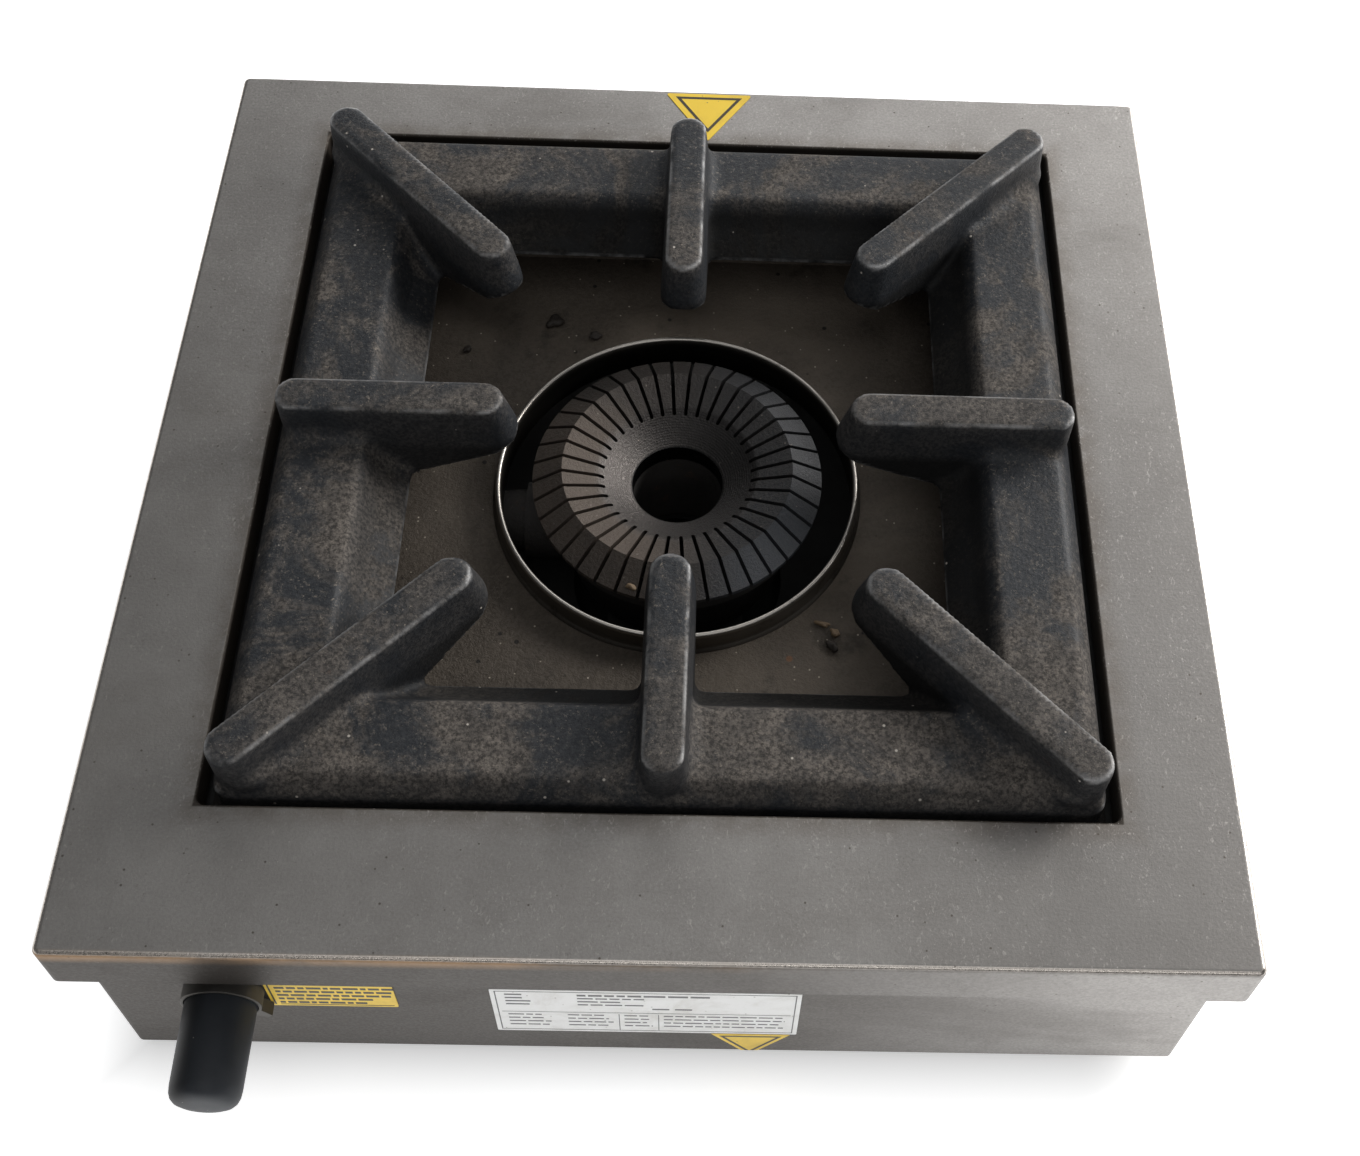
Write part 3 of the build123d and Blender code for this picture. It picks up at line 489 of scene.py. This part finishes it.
def drawn_steel_pipe():
    """Steel supply pipe with marks along its length."""
    f = Finish("drawn_steel_pipe", Metallic=1.0)
    cloud = f.grain(60.0, 5.0, 0.65, stretch=(1.0, 0.2, 1.0))
    colour = f.mix(cloud, (0.26, 0.255, 0.25), (0.45, 0.445, 0.44))
    normal = f.relief(f.grain(700.0, 3.0), 0.00006, 0.5)
    return f.finish(colour, f.spread(cloud, 0.30, 0.48), normal=normal)


def black_rubber():
    """Feet, grey with dust."""
    f = Finish("black_rubber")
    dust = f.grain(120.0, 6.0, 0.7)
    colour = f.mix(f.band(dust, 0.45, 0.75), (0.014, 0.014, 0.014), (0.060, 0.057, 0.053))
    normal = f.relief(f.grain(900.0, 4.0, 0.7), 0.0002, 0.5)
    return f.finish(colour, f.spread(dust, 0.66, 0.86), normal=normal)


def red_fibre():
    """Fibre sealing washer."""
    f = Finish("red_fibre")
    fleck = f.grain(700.0, 5.0, 0.7)
    colour = f.mix(fleck, (0.15, 0.040, 0.028), (0.30, 0.095, 0.060))
    return f.finish(colour, 0.75, normal=f.relief(fleck, 0.0001, 0.6))


def label_film(name, clean, soiled, roughness):
    """Printed film with grime in patches and small dark specks."""
    f = Finish(name)
    darkening = f.grain(45.0, 6.0, 0.7, distortion=0.4)
    colour = f.mix(f.times(f.band(darkening, 0.42, 0.72), 0.75), clean, soiled)
    colour = f.layer(colour, f.specks(420.0, 0.18, 0.12), 0.7, (0.16, 0.13, 0.10))
    normal = f.relief(f.grain(300.0, 3.0), 0.00006, 0.4)
    return f.finish(colour, f.spread(darkening, roughness, roughness + 0.18), normal=normal)


def printed_ink(name, dark, faded):
    """Ink, worn in places."""
    f = Finish(name)
    wear = f.grain(500.0, 5.0, 0.75)
    colour = f.mix(wear, dark, faded)
    return f.finish(colour, f.spread(wear, 0.42, 0.6), normal=f.relief(wear, 0.00003, 0.4))


def burnt_crumb():
    """Charred scraps."""
    f = Finish("burnt_crumb")
    char = f.grain(420.0, 5.0, 0.7)
    colour = f.mix(char, (0.006, 0.005, 0.004), (0.034, 0.024, 0.017))
    return f.finish(colour, f.spread(char, 0.55, 0.8), normal=f.relief(char, 0.0004, 0.7))


def dry_crumb():
    """Dry brown scraps."""
    f = Finish("dry_crumb")
    char = f.grain(420.0, 5.0, 0.7)
    colour = f.mix(char, (0.095, 0.060, 0.034), (0.24, 0.17, 0.10))
    return f.finish(colour, f.spread(char, 0.55, 0.8), normal=f.relief(char, 0.0003, 0.7))


def studio_white():
    """Pale floor that glows softly, with painted shade round and under the burner."""
    f = Finish("studio_white", Emission_Color=(1.0, 1.0, 1.0, 1.0))
    tone = f.grain(2.0, 2.0)
    beside = f.calc("ABSOLUTE", f.axis("X"))
    beyond = f.calc("ABSOLUTE", f.calc("SUBTRACT", f.axis("Y"), BODY_MIDDLE_Y))
    away = f.calc("MAXIMUM", beside, beyond)
    # painted shade: the glow starts under the body and is full only a little way outside it, so the floor is
    # darker round the body
    glow = f.times(f.band(away, 0.160, 0.222), 0.90)
    f.feed(f.shader.inputs["Emission Strength"], glow)
    colour = f.mix(tone, (0.88, 0.88, 0.88), (0.90, 0.90, 0.90))
    # painted shade: the floor black under the body
    return f.finish(f.mix(f.band(away, 0.185, 0.150), colour, (0.010, 0.010, 0.010)), 0.9)


# ---------------------------------------------------------------- piece tools
def finished_piece(name, bm, material, body, *stands_for, smooth=True, slot=None):
    """Turns a bmesh into a piece that rides on a body and may stand for CAD nodes."""
    bmesh.ops.remove_doubles(bm, verts=bm.verts, dist=TINY)
    bmesh.ops.recalc_face_normals(bm, faces=bm.faces)
    mesh = bpy.data.meshes.new(name)
    bm.to_mesh(mesh)
    bm.free()
    for face in mesh.polygons:
        face.use_smooth = smooth
    piece = bpy.data.objects.new(name, mesh)
    bpy.context.scene.collection.objects.link(piece)
    mesh.materials.append(material)
    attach(piece, body)
    if stands_for:
        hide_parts(*stands_for)
    return piece


def profile_wire(bm, points, closed=True):
    """Edges through a few section points; returns its points and its edges."""
    verts = [bm.verts.new(p) for p in points]
    pairs = list(zip(verts, verts[1:])) + ([(verts[-1], verts[0])] if closed else [])
    return verts, [bm.edges.new(pair) for pair in pairs]


def full_spin(bm, verts, edges, centre, axis, steps):
    """Turns a section once round an axis and joins it up."""
    bmesh.ops.spin(bm, geom=verts + edges, cent=centre, axis=axis, angle=math.tau, steps=steps,
                   use_merge=True)


def turned_piece(section, axis, centre, steps, closed=True):
    """Mesh spun from a section of (radius, along) points in mm about the Z or Y line through centre."""
    bm = bmesh.new()
    if axis == "Z":
        points = [(centre[0] + r * MM, centre[1], a * MM) for r, a in section]
        direction = (0, 0, 1)
    else:
        points = [(centre[0] + r * MM, a * MM, centre[2]) for r, a in section]
        direction = (0, 1, 0)
    verts, edges = profile_wire(bm, points, closed)
    full_spin(bm, verts, edges, centre, direction, steps)
    return bm


def cut_away(bm, place, direction):
    """Cuts a mesh by a plane and drops what lies beyond it."""
    everything = bm.verts[:] + bm.edges[:] + bm.faces[:]
    bmesh.ops.bisect_plane(bm, geom=everything, plane_co=place, plane_no=direction, clear_outer=True)


def thin_block(bm, low, high):
    """Adds a block between two corners."""
    made = bmesh.ops.create_cube(bm, size=1.0)["verts"]
    size = [b - a for a, b in zip(low, high)]
    middle = [(a + b) / 2 for a, b in zip(low, high)]
    bmesh.ops.scale(bm, vec=size, verts=made)
    bmesh.ops.translate(bm, vec=middle, verts=made)


def apply_modifiers(piece):
    """Bakes a piece's modifiers into its mesh."""
    graph = bpy.context.evaluated_depsgraph_get()
    baked = bpy.data.meshes.new_from_object(piece.evaluated_get(graph))
    piece.modifiers.clear()
    old = piece.data
    piece.data = baked
    bpy.data.meshes.remove(old)


def paint_wear(mesh, sharp, blunt=0.0):
    """Stores how far each point stands proud of its neighbours as the attribute wear."""
    count = len(mesh.vertices)
    places = np.empty(count * 3)
    mesh.vertices.foreach_get("co", places)
    places = places.reshape(-1, 3)
    normals = np.empty(count * 3)
    mesh.vertices.foreach_get("normal", normals)
    normals = normals.reshape(-1, 3)
    ends = np.empty(len(mesh.edges) * 2, dtype=np.int64)
    mesh.edges.foreach_get("vertices", ends)
    a, b = ends.reshape(-1, 2).T
    degree = np.bincount(a, minlength=count) + np.bincount(b, minlength=count)
    degree = np.maximum(degree, 1)

    def neighbours(values):
        return (np.bincount(a, values[b], count) + np.bincount(b, values[a], count)) / degree

    middle = np.stack([neighbours(places[:, k]) for k in range(3)], axis=1)
    proud = -((middle - places) * normals).sum(axis=1)
    wear = np.clip((proud - blunt) / (sharp - blunt), 0.0, 1.0)
    layer = mesh.attributes.new("wear", "FLOAT", "POINT")
    layer.data.foreach_set("value", wear)


# ---------------------------------------------------------------- pan support
# Section of the frame as (half width, height) points in mm: flat top, sloping inner face, open channel below.
FRAME_SECTION = (
    (153.5, 104.0), (153.5, 117.6), (152.8, 119.0), (148.2, 125.2), (147.2, 126.0), (120.6, 126.0),
    (119.5, 125.4), (113.0, 115.0), (102.0, 104.6), (102.8, 104.0), (109.5, 104.0), (117.5, 112.5),
    (123.0, 118.5), (141.5, 118.5), (147.0, 113.0), (147.0, 104.0),
)


def stadium_ring(bm, start, end, width, height):
    """Closed ring of edges: two half circles joined by straight sides."""
    ring = bmesh.ops.create_circle(bm, cap_ends=False, segments=26, radius=width / 2 * MM)["verts"]
    far = [v for v in ring if v.co.x > 0]
    bmesh.ops.translate(bm, verts=ring, vec=((start + width / 2) * MM, 0, height * MM))
    bmesh.ops.translate(bm, verts=far, vec=((end - start - width) * MM, 0, 0))
    return list({e for v in ring for e in v.link_edges})


def stacked_rings(bm, levels):
    """Skin over stadium rings from the top level to the bottom one."""
    rings = [stadium_ring(bm, start, end, width, z) for z, start, end, width in levels]
    bmesh.ops.edgeloop_fill(bm, edges=rings[0])
    bmesh.ops.edgeloop_fill(bm, edges=rings[-1])
    for upper, lower in zip(rings, rings[1:]):
        bmesh.ops.bridge_loops(bm, edges=upper + lower)


def finger_mesh(inner, outer, hook, root):
    """One finger along +X, hollowed below as far as hook, its foot flared on the frame from root outwards."""
    bm = bmesh.new()
    # height, inner end, outer end and width in mm, from the top down
    stacked_rings(bm, (
        (142.0, inner + 0.4, outer - 0.5, 14.2), (141.6, inner, outer - 0.1, 15.0),
        (140.8, inner - 0.3, outer, 15.4), (126.0, inner - 4.6, outer - 0.4, 18.0),
        (123.0, inner - 5.2, outer - 0.6, 18.6), (104.4, inner - 5.6, outer - 1.6, 19.8),
    ))
    bmesh.ops.recalc_face_normals(bm, faces=bm.faces)
    underside = ((inner - 5.5, 121.5), (inner + 3.0, 116.5), (hook, 105.0))
    for (x0, z0), (x1, z1) in zip(underside, underside[1:]):
        down = Vector((z1 - z0, 0, -(x1 - x0)))
        cut_away(bm, (x0 * MM, 0, z0 * MM), down.normalized())
        bmesh.ops.holes_fill(bm, edges=[e for e in bm.edges if e.is_boundary])
    stacked_rings(bm, (
        (131.5, root + 5.0, outer - 1.2, 16.6), (129.0, root + 3.0, outer - 1.0, 18.2),
        (127.3, root + 1.0, outer - 0.8, 20.6), (126.2, root, outer - 0.6, 23.6),
        (122.0, root, outer - 1.0, 24.0),
    ))
    mesh = bpy.data.meshes.new("finger")
    bm.to_mesh(mesh)
    bm.free()
    return mesh


# inner end, outer end, hook and root in mm from the burner axis
STRAIGHT_FINGER = (66.5, 152.5, 97.0, 112.0)
SLANTED_FINGER = (102.5, 212.5, 139.0, 160.0)
FUSE_STEP = 0.0017      # size of the grid that melts frame and fingers together
CORNER_REACH = 0.1505   # the frame's outer corners lie beyond this X


def outer_corner(edge):
    """True for an upright edge at one of the frame's outer corners."""
    a, b = (v.co for v in edge.verts)
    return abs(a.x - b.x) < TINY and abs(a.y - b.y) < TINY and abs(a.x) > CORNER_REACH


def cast_pan_support(iron):
    """The whole casting: mitred frame and eight fingers, fused with soft cast corners."""
    bm = bmesh.new()
    verts, edges = profile_wire(bm, [(r * MM, r * MM, z * MM) for r, z in FRAME_SECTION])
    full_spin(bm, verts, edges, (0, 0, 0), (0, 0, 1), 4)
    corners = [e for e in bm.edges if outer_corner(e)]
    bmesh.ops.bevel(bm, geom=corners, offset=0.007, affect="EDGES", segments=4, profile=0.5, material=-1)
    bmesh.ops.recalc_face_normals(bm, faces=bm.faces)
    straight = finger_mesh(*STRAIGHT_FINGER)
    slanted = finger_mesh(*SLANTED_FINGER)
    for turn in range(8):
        before = set(bm.verts)
        bm.from_mesh(slanted if turn % 2 else straight)
        added = [v for v in bm.verts if v not in before]
        bmesh.ops.rotate(bm, verts=added, cent=(0, 0, 0), matrix=Matrix.Rotation(turn * math.pi / 4, 3, "Z"))
    for mesh in (straight, slanted):
        bpy.data.meshes.remove(mesh)
    piece = finished_piece("pan_support_casting", bm, iron, "support", "pan_support")
    fuse = piece.modifiers.new("fuse", "REMESH")
    fuse.mode = "VOXEL"
    fuse.voxel_size = FUSE_STEP
    apply_modifiers(piece)
    bm = bmesh.new()
    bm.from_mesh(piece.data)
    for _ in range(2):
        bmesh.ops.smooth_vert(bm, verts=bm.verts, factor=0.5, use_axis_x=True, use_axis_y=True,
                              use_axis_z=True)
    bm.to_mesh(piece.data)
    bm.free()
    for face in piece.data.polygons:
        face.use_smooth = True
    paint_wear(piece.data, 0.00025, 0.00015)
    return piece


# ---------------------------------------------------------------- well and control
def rolled_collar(steel):
    """Thin ring round the burner well, with a rounded rim and a small foot flange."""
    section = [(70.8, 74.2), (70.8, 89.0), (70.9, 89.8), (71.4, 90.3), (72.2, 90.3), (72.7, 89.8),
               (72.9, 89.0), (73.0, 82.2), (73.5, 81.0), (74.5, 80.4), (74.5, 80.02), (72.0, 80.02),
               (72.0, 74.2)]
    bm = turned_piece(section, "Z", (0, 0, 0), 128)
    return finished_piece("well_collar", bm, steel, "tray", "burner_collar")


def moulded_knob(plastic):
    """Long knob with a domed end, open at the back over the valve nut."""
    low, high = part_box("knob")
    x, z = (low[0] + high[0]) / 2, (low[2] + high[2]) / 2
    front, back = low[1] / MM, high[1] / MM
    section = [(0.0, front), (5.5, front + 0.08), (8.4, front + 0.35), (10.1, front + 1.0),
               (11.2, front + 2.1), (11.85, front + 3.7), (12.1, front + 6.0),
               (12.3, back - 0.9), (12.1, back - 0.25),
               (11.7, back), (11.1, back), (11.0, back - 0.6), (11.0, back - 5.4), (4.2, back - 5.4),
               (4.2, back - 6.0), (0.0, back - 6.0)]
    bm = turned_piece(section, "Y", (x, 0, z), 64, closed=False)
    return finished_piece("control_knob", bm, plastic, "control", "knob")


# ---------------------------------------------------------------- labels
INK_PROUD = 0.00006     # how far printed bars stand out of the film
INK_SUNK = 0.00002      # how far they reach into it


def ink_bar(bm, low, high, x0, x1, z0, z1):
    """Printed bar on an upright label; x from its left edge and z down from its top edge, in mm."""
    thin_block(bm, (low.x + x0 * MM, low.y - INK_PROUD, high.z - z1 * MM),
               (low.x + x1 * MM, low.y + INK_SUNK, high.z - z0 * MM))


def plate_print(ink):
    """Neutral bars and a border on the data plate; no lettering."""
    low, high = (Vector(c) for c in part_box("data_plate"))
    bm = bmesh.new()
    random.seed(4)

    def bar(*sides):
        ink_bar(bm, low, high, *sides)

    wide, tall = (high.x - low.x) / MM, (high.z - low.z) / MM
    for x0, x1, z0, z1 in ((1.6, wide - 1.6, 1.6, 2.0), (1.6, wide - 1.6, tall - 2.0, tall - 1.6),
                           (1.6, 2.0, 1.6, tall - 1.6), (wide - 2.0, wide - 1.6, 1.6, tall - 1.6)):
        bar(x0, x1, z0, z1)
    for row, z in enumerate((4.2, 7.6, 10.8, 14.0)):
        bar(5, 5 + random.uniform(5, 9), z, z + 1.1)
        x = 30
        while x < 30 + (44, 24, 14, 22)[row]:
            step = random.uniform(2.5, 8)
            bar(x, x + step, z, z + (1.5 if row == 0 else 1.0))
            x += step + 0.9
    bar(56, 62, 17.6, 18.7)
    bar(64, 70, 17.6, 18.7)
    bar(3, wide - 3, 22.4, 22.7)
    for column, (x0, x1) in enumerate(((5, 20), (26, 42), (46, 56), (60, wide - 5))):
        for row in range(4):
            z = 25.0 + row * 3.6
            end = x1 - random.uniform(0, 4)
            x = x0
            while x < end:
                step = min(random.uniform(2, 6), end - x + 0.2)
                bar(x, x + step, z, z + 0.9)
                x += step + 0.8
    bar(58, 58.3, 24, 41)
    bar(44, 44.3, 24, 41)
    return finished_piece("data_plate_print", bm, ink, "housing", smooth=False, slot="label_white")


def notice_print(ink):
    """Neutral bars and two rules on the yellow notice; no lettering."""
    low, high = (Vector(c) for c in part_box("notice_label"))
    bm = bmesh.new()
    random.seed(9)
    for sides in ((1.0, 1.6, 1.2, 22.3), (3.0, 42.5, 21.8, 22.2)):
        ink_bar(bm, low, high, *sides)
    for row in range(5):
        x = 3.2
        while x < (41, 38, 41, 36, 30)[row]:
            step = random.uniform(1.6, 5.5)
            down = 4.6 + row * 3.6
            ink_bar(bm, low, high, x, x + step, down, down + 1.7)
            x += step + 0.8
    return finished_piece("notice_label_print", bm, ink, "housing", smooth=False, slot="label_yellow")


OUTLINE_PROUD = 0.00004


def triangle_print(name, node, ink, flat):
    """Dark inner outline of a triangle sticker; flat is True on the plate, False on the front panel."""
    low, high = (Vector(c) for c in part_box(node))
    half = (high.x - low.x) / 2
    centre = (low.x + high.x) / 2
    bm = bmesh.new()
    depth = half * (1.47 if flat else 1.66)     # from its upper edge to its point
    corners = [(-half, 0.0), (half, 0.0), (0.0, -depth)]
    middle = -depth * 0.36
    rings = []
    for share in (0.80, 0.66):                  # outer and inner edge of the outline
        ring = []
        for u, v in corners:
            u, v = u * share, middle + (v - middle) * share
            lying = (centre + u, high.y + v, high.z + OUTLINE_PROUD)
            upright = (centre + u, low.y - OUTLINE_PROUD, high.z + v)
            ring.append(bm.verts.new(lying if flat else upright))
        rings.append([bm.edges.new((ring[i], ring[(i + 1) % 3])) for i in range(3)])
    bmesh.ops.bridge_loops(bm, edges=rings[0] + rings[1])
    if not flat:
        # the front sticker runs off the lower edge of its panel
        cut_away(bm, (0, 0, low.z), (0, 0, -1))
    want = Vector((0, 0, 1)) if flat else Vector((0, -1, 0))
    piece = finished_piece(name, bm, ink, "housing", smooth=False, slot="label_yellow")
    piece.data.update()
    if piece.data.polygons[0].normal.dot(want) < 0:
        piece.data.flip_normals()
    return piece


# ---------------------------------------------------------------- crumbs on the tray
def crumb(name, place, size, material, seed, body="tray"):
    """Lumpy scrap that lies on a body; the seed sets its lumps and how it is turned."""
    random.seed(seed)
    bm = bmesh.new()
    bmesh.ops.create_icosphere(bm, subdivisions=3, radius=0.5)
    for v in bm.verts:
        lump = 0.30 * math.sin(5 * v.co.x + seed) * math.cos(7 * v.co.y - seed)
        v.co *= 1.0 + lump + random.uniform(-0.05, 0.05)
    bmesh.ops.scale(bm, vec=size, verts=bm.verts)
    bmesh.ops.rotate(bm, verts=bm.verts, cent=(0, 0, 0), matrix=Matrix.Rotation(seed * 1.3, 3, "Z"))
    lowest = min(v.co.z for v in bm.verts)
    bmesh.ops.translate(bm, vec=(place[0], place[1], place[2] - lowest - 0.0002), verts=bm.verts)
    return finished_piece(name, bm, material, body)


# ---------------------------------------------------------------- finishes on the CAD pieces
def dress_cad_pieces():
    """Gives every CAD node the finish of its material slot, and returns the finishes by slot."""
    finishes = {
        "stainless": satin_stainless(), "galvanised": zinc_sheet(), "grate_iron": dusty_cast_iron(),
        "burner_iron": sooty_burner_iron(), "cap_iron": oxidised_cap_iron(),
        "tray_steel": baked_tray_enamel(), "collar_steel": heat_stained_collar(),
        "brass": dull_brass(), "copper": aged_copper(),
        "pipe_steel": drawn_steel_pipe(), "bezel_metal": grey_bezel_metal(),
        "knob_plastic": satin_black_plastic(), "screw_zinc": bright_zinc(), "spring_steel": bright_zinc(),
        "rubber": black_rubber(), "fibre": red_fibre(),
        "label_white": label_film("white_label_film", (0.86, 0.86, 0.85), (0.62, 0.60, 0.56), 0.38),
        "label_yellow": label_film("yellow_label_film", (0.90, 0.62, 0.050), (0.62, 0.42, 0.06), 0.40),
    }
    for entry in frame["record"]["subparts"]:
        node = frame["nodes"][entry["node"]]
        for slot in node.material_slots:
            slot.material = finishes[entry["material_slot"]]
    return finishes


# ---------------------------------------------------------------- studio
def studio():
    """Pale glowing floor, dim room and four soft boxes."""
    floor_mesh = bpy.data.meshes.new("studio_floor")
    bm = bmesh.new()
    bmesh.ops.create_grid(bm, x_segments=1, y_segments=1, size=6.0)
    bm.to_mesh(floor_mesh)
    bm.free()
    floor = bpy.data.objects.new("studio_floor", floor_mesh)
    bpy.context.scene.collection.objects.link(floor)
    floor_mesh.materials.append(studio_white())

    world = bpy.data.worlds.new("soft_room")
    world.use_nodes = True
    world.node_tree.nodes["Background"].inputs["Color"].default_value = (0.97, 0.985, 1.0, 1.0)
    world.node_tree.nodes["Background"].inputs["Strength"].default_value = 0.12
    bpy.context.scene.world = world

    def softbox(name, place, target, width, height, power, tone=(1.0, 1.0, 1.0)):
        light = bpy.data.lights.new(name, "AREA")
        light.shape = "RECTANGLE"
        light.size, light.size_y = width, height
        light.energy = power
        light.color = tone
        lamp = bpy.data.objects.new(name, light)
        lamp.location = place
        lamp.rotation_euler = (Vector(target) - Vector(place)).to_track_quat("-Z", "Y").to_euler()
        bpy.context.scene.collection.objects.link(lamp)

    softbox("key_right", (1.60, 0.82, 0.98), (0, 0, 0.1), 0.9, 0.8, 38.0, (1.0, 0.985, 0.965))
    softbox("rear_glow", (0.50, 1.75, 1.25), (0, 0, 0.1), 2.4, 1.3, 16.0)
    softbox("overhead", (0.1, -0.55, 2.2), (0, 0, 0.1), 1.8, 1.8, 8.0, (0.98, 0.99, 1.0))
    softbox("front_strip", (0.45, -2.05, 1.55), (0.05, -0.2, 0.1), 2.1, 0.5, 5.0)
    bpy.context.scene.view_settings.view_transform = "Standard"


def camera():
    """Looks down at the front of the burner from about 54 degrees above the worktop."""
    data = bpy.data.cameras.new("camera")
    data.sensor_width = 36.0
    data.lens = 49.11
    data.shift_x = -0.0683
    data.shift_y = -0.1298
    data.clip_start, data.clip_end = 0.02, 30.0
    cam = bpy.data.objects.new("camera", data)
    place = Vector((0.01471, -0.41777, 0.71075))
    ahead = Vector((0.03054, 0.59310, -0.80455)).normalized()
    up = Vector((-0.02697, 0.80512, 0.59250))
    right = ahead.cross(up).normalized()
    up = right.cross(ahead)
    cam.matrix_world = Matrix((
        (right.x, up.x, -ahead.x, place.x), (right.y, up.y, -ahead.y, place.y),
        (right.z, up.z, -ahead.z, place.z), (0, 0, 0, 1)))
    bpy.context.scene.collection.objects.link(cam)
    bpy.context.scene.camera = cam


# ---------------------------------------------------------------- the burner
camera()
studio()
finish = dress_cad_pieces()
cast_pan_support(finish["grate_iron"])
rolled_collar(finish["collar_steel"])
moulded_knob(finish["knob_plastic"])
grey_ink = printed_ink("grey_label_ink", (0.045, 0.045, 0.050), (0.20, 0.20, 0.20))
dark_ink = printed_ink("dark_label_ink", (0.020, 0.016, 0.012), (0.075, 0.060, 0.035))
plate_print(grey_ink)
notice_print(dark_ink)
triangle_print("triangle_top_print", "triangle_top", dark_ink, True)
triangle_print("triangle_front_print", "triangle_front", dark_ink, False)
charred, straw = burnt_crumb(), dry_crumb()
# name, x, y, size, finish and seed of each scrap
SCRAPS_ON_TRAY = (
    ("tray_chip_a", -0.056, 0.086, (0.0078, 0.0058, 0.0030), charred, 3),
    ("tray_chip_b", -0.038, 0.079, (0.0052, 0.0040, 0.0026), charred, 5),
    ("tray_chip_c", -0.092, 0.070, (0.0040, 0.0030, 0.0020), charred, 8),
    ("tray_straw_a", 0.058, -0.060, (0.0066, 0.0024, 0.0018), straw, 7),
    ("tray_straw_b", 0.063, -0.064, (0.0040, 0.0030, 0.0022), straw, 2),
    ("tray_chip_d", 0.062, -0.070, (0.0060, 0.0040, 0.0026), charred, 4),
)
for name, x, y, size, material, seed in SCRAPS_ON_TRAY:
    crumb(name, (x, y, TRAY_FLOOR), size, material, seed)
crumb("cap_seed", (-0.016, -0.0535, 0.0935), (0.0024, 0.0048, 0.0020), straw, 1, "cap")
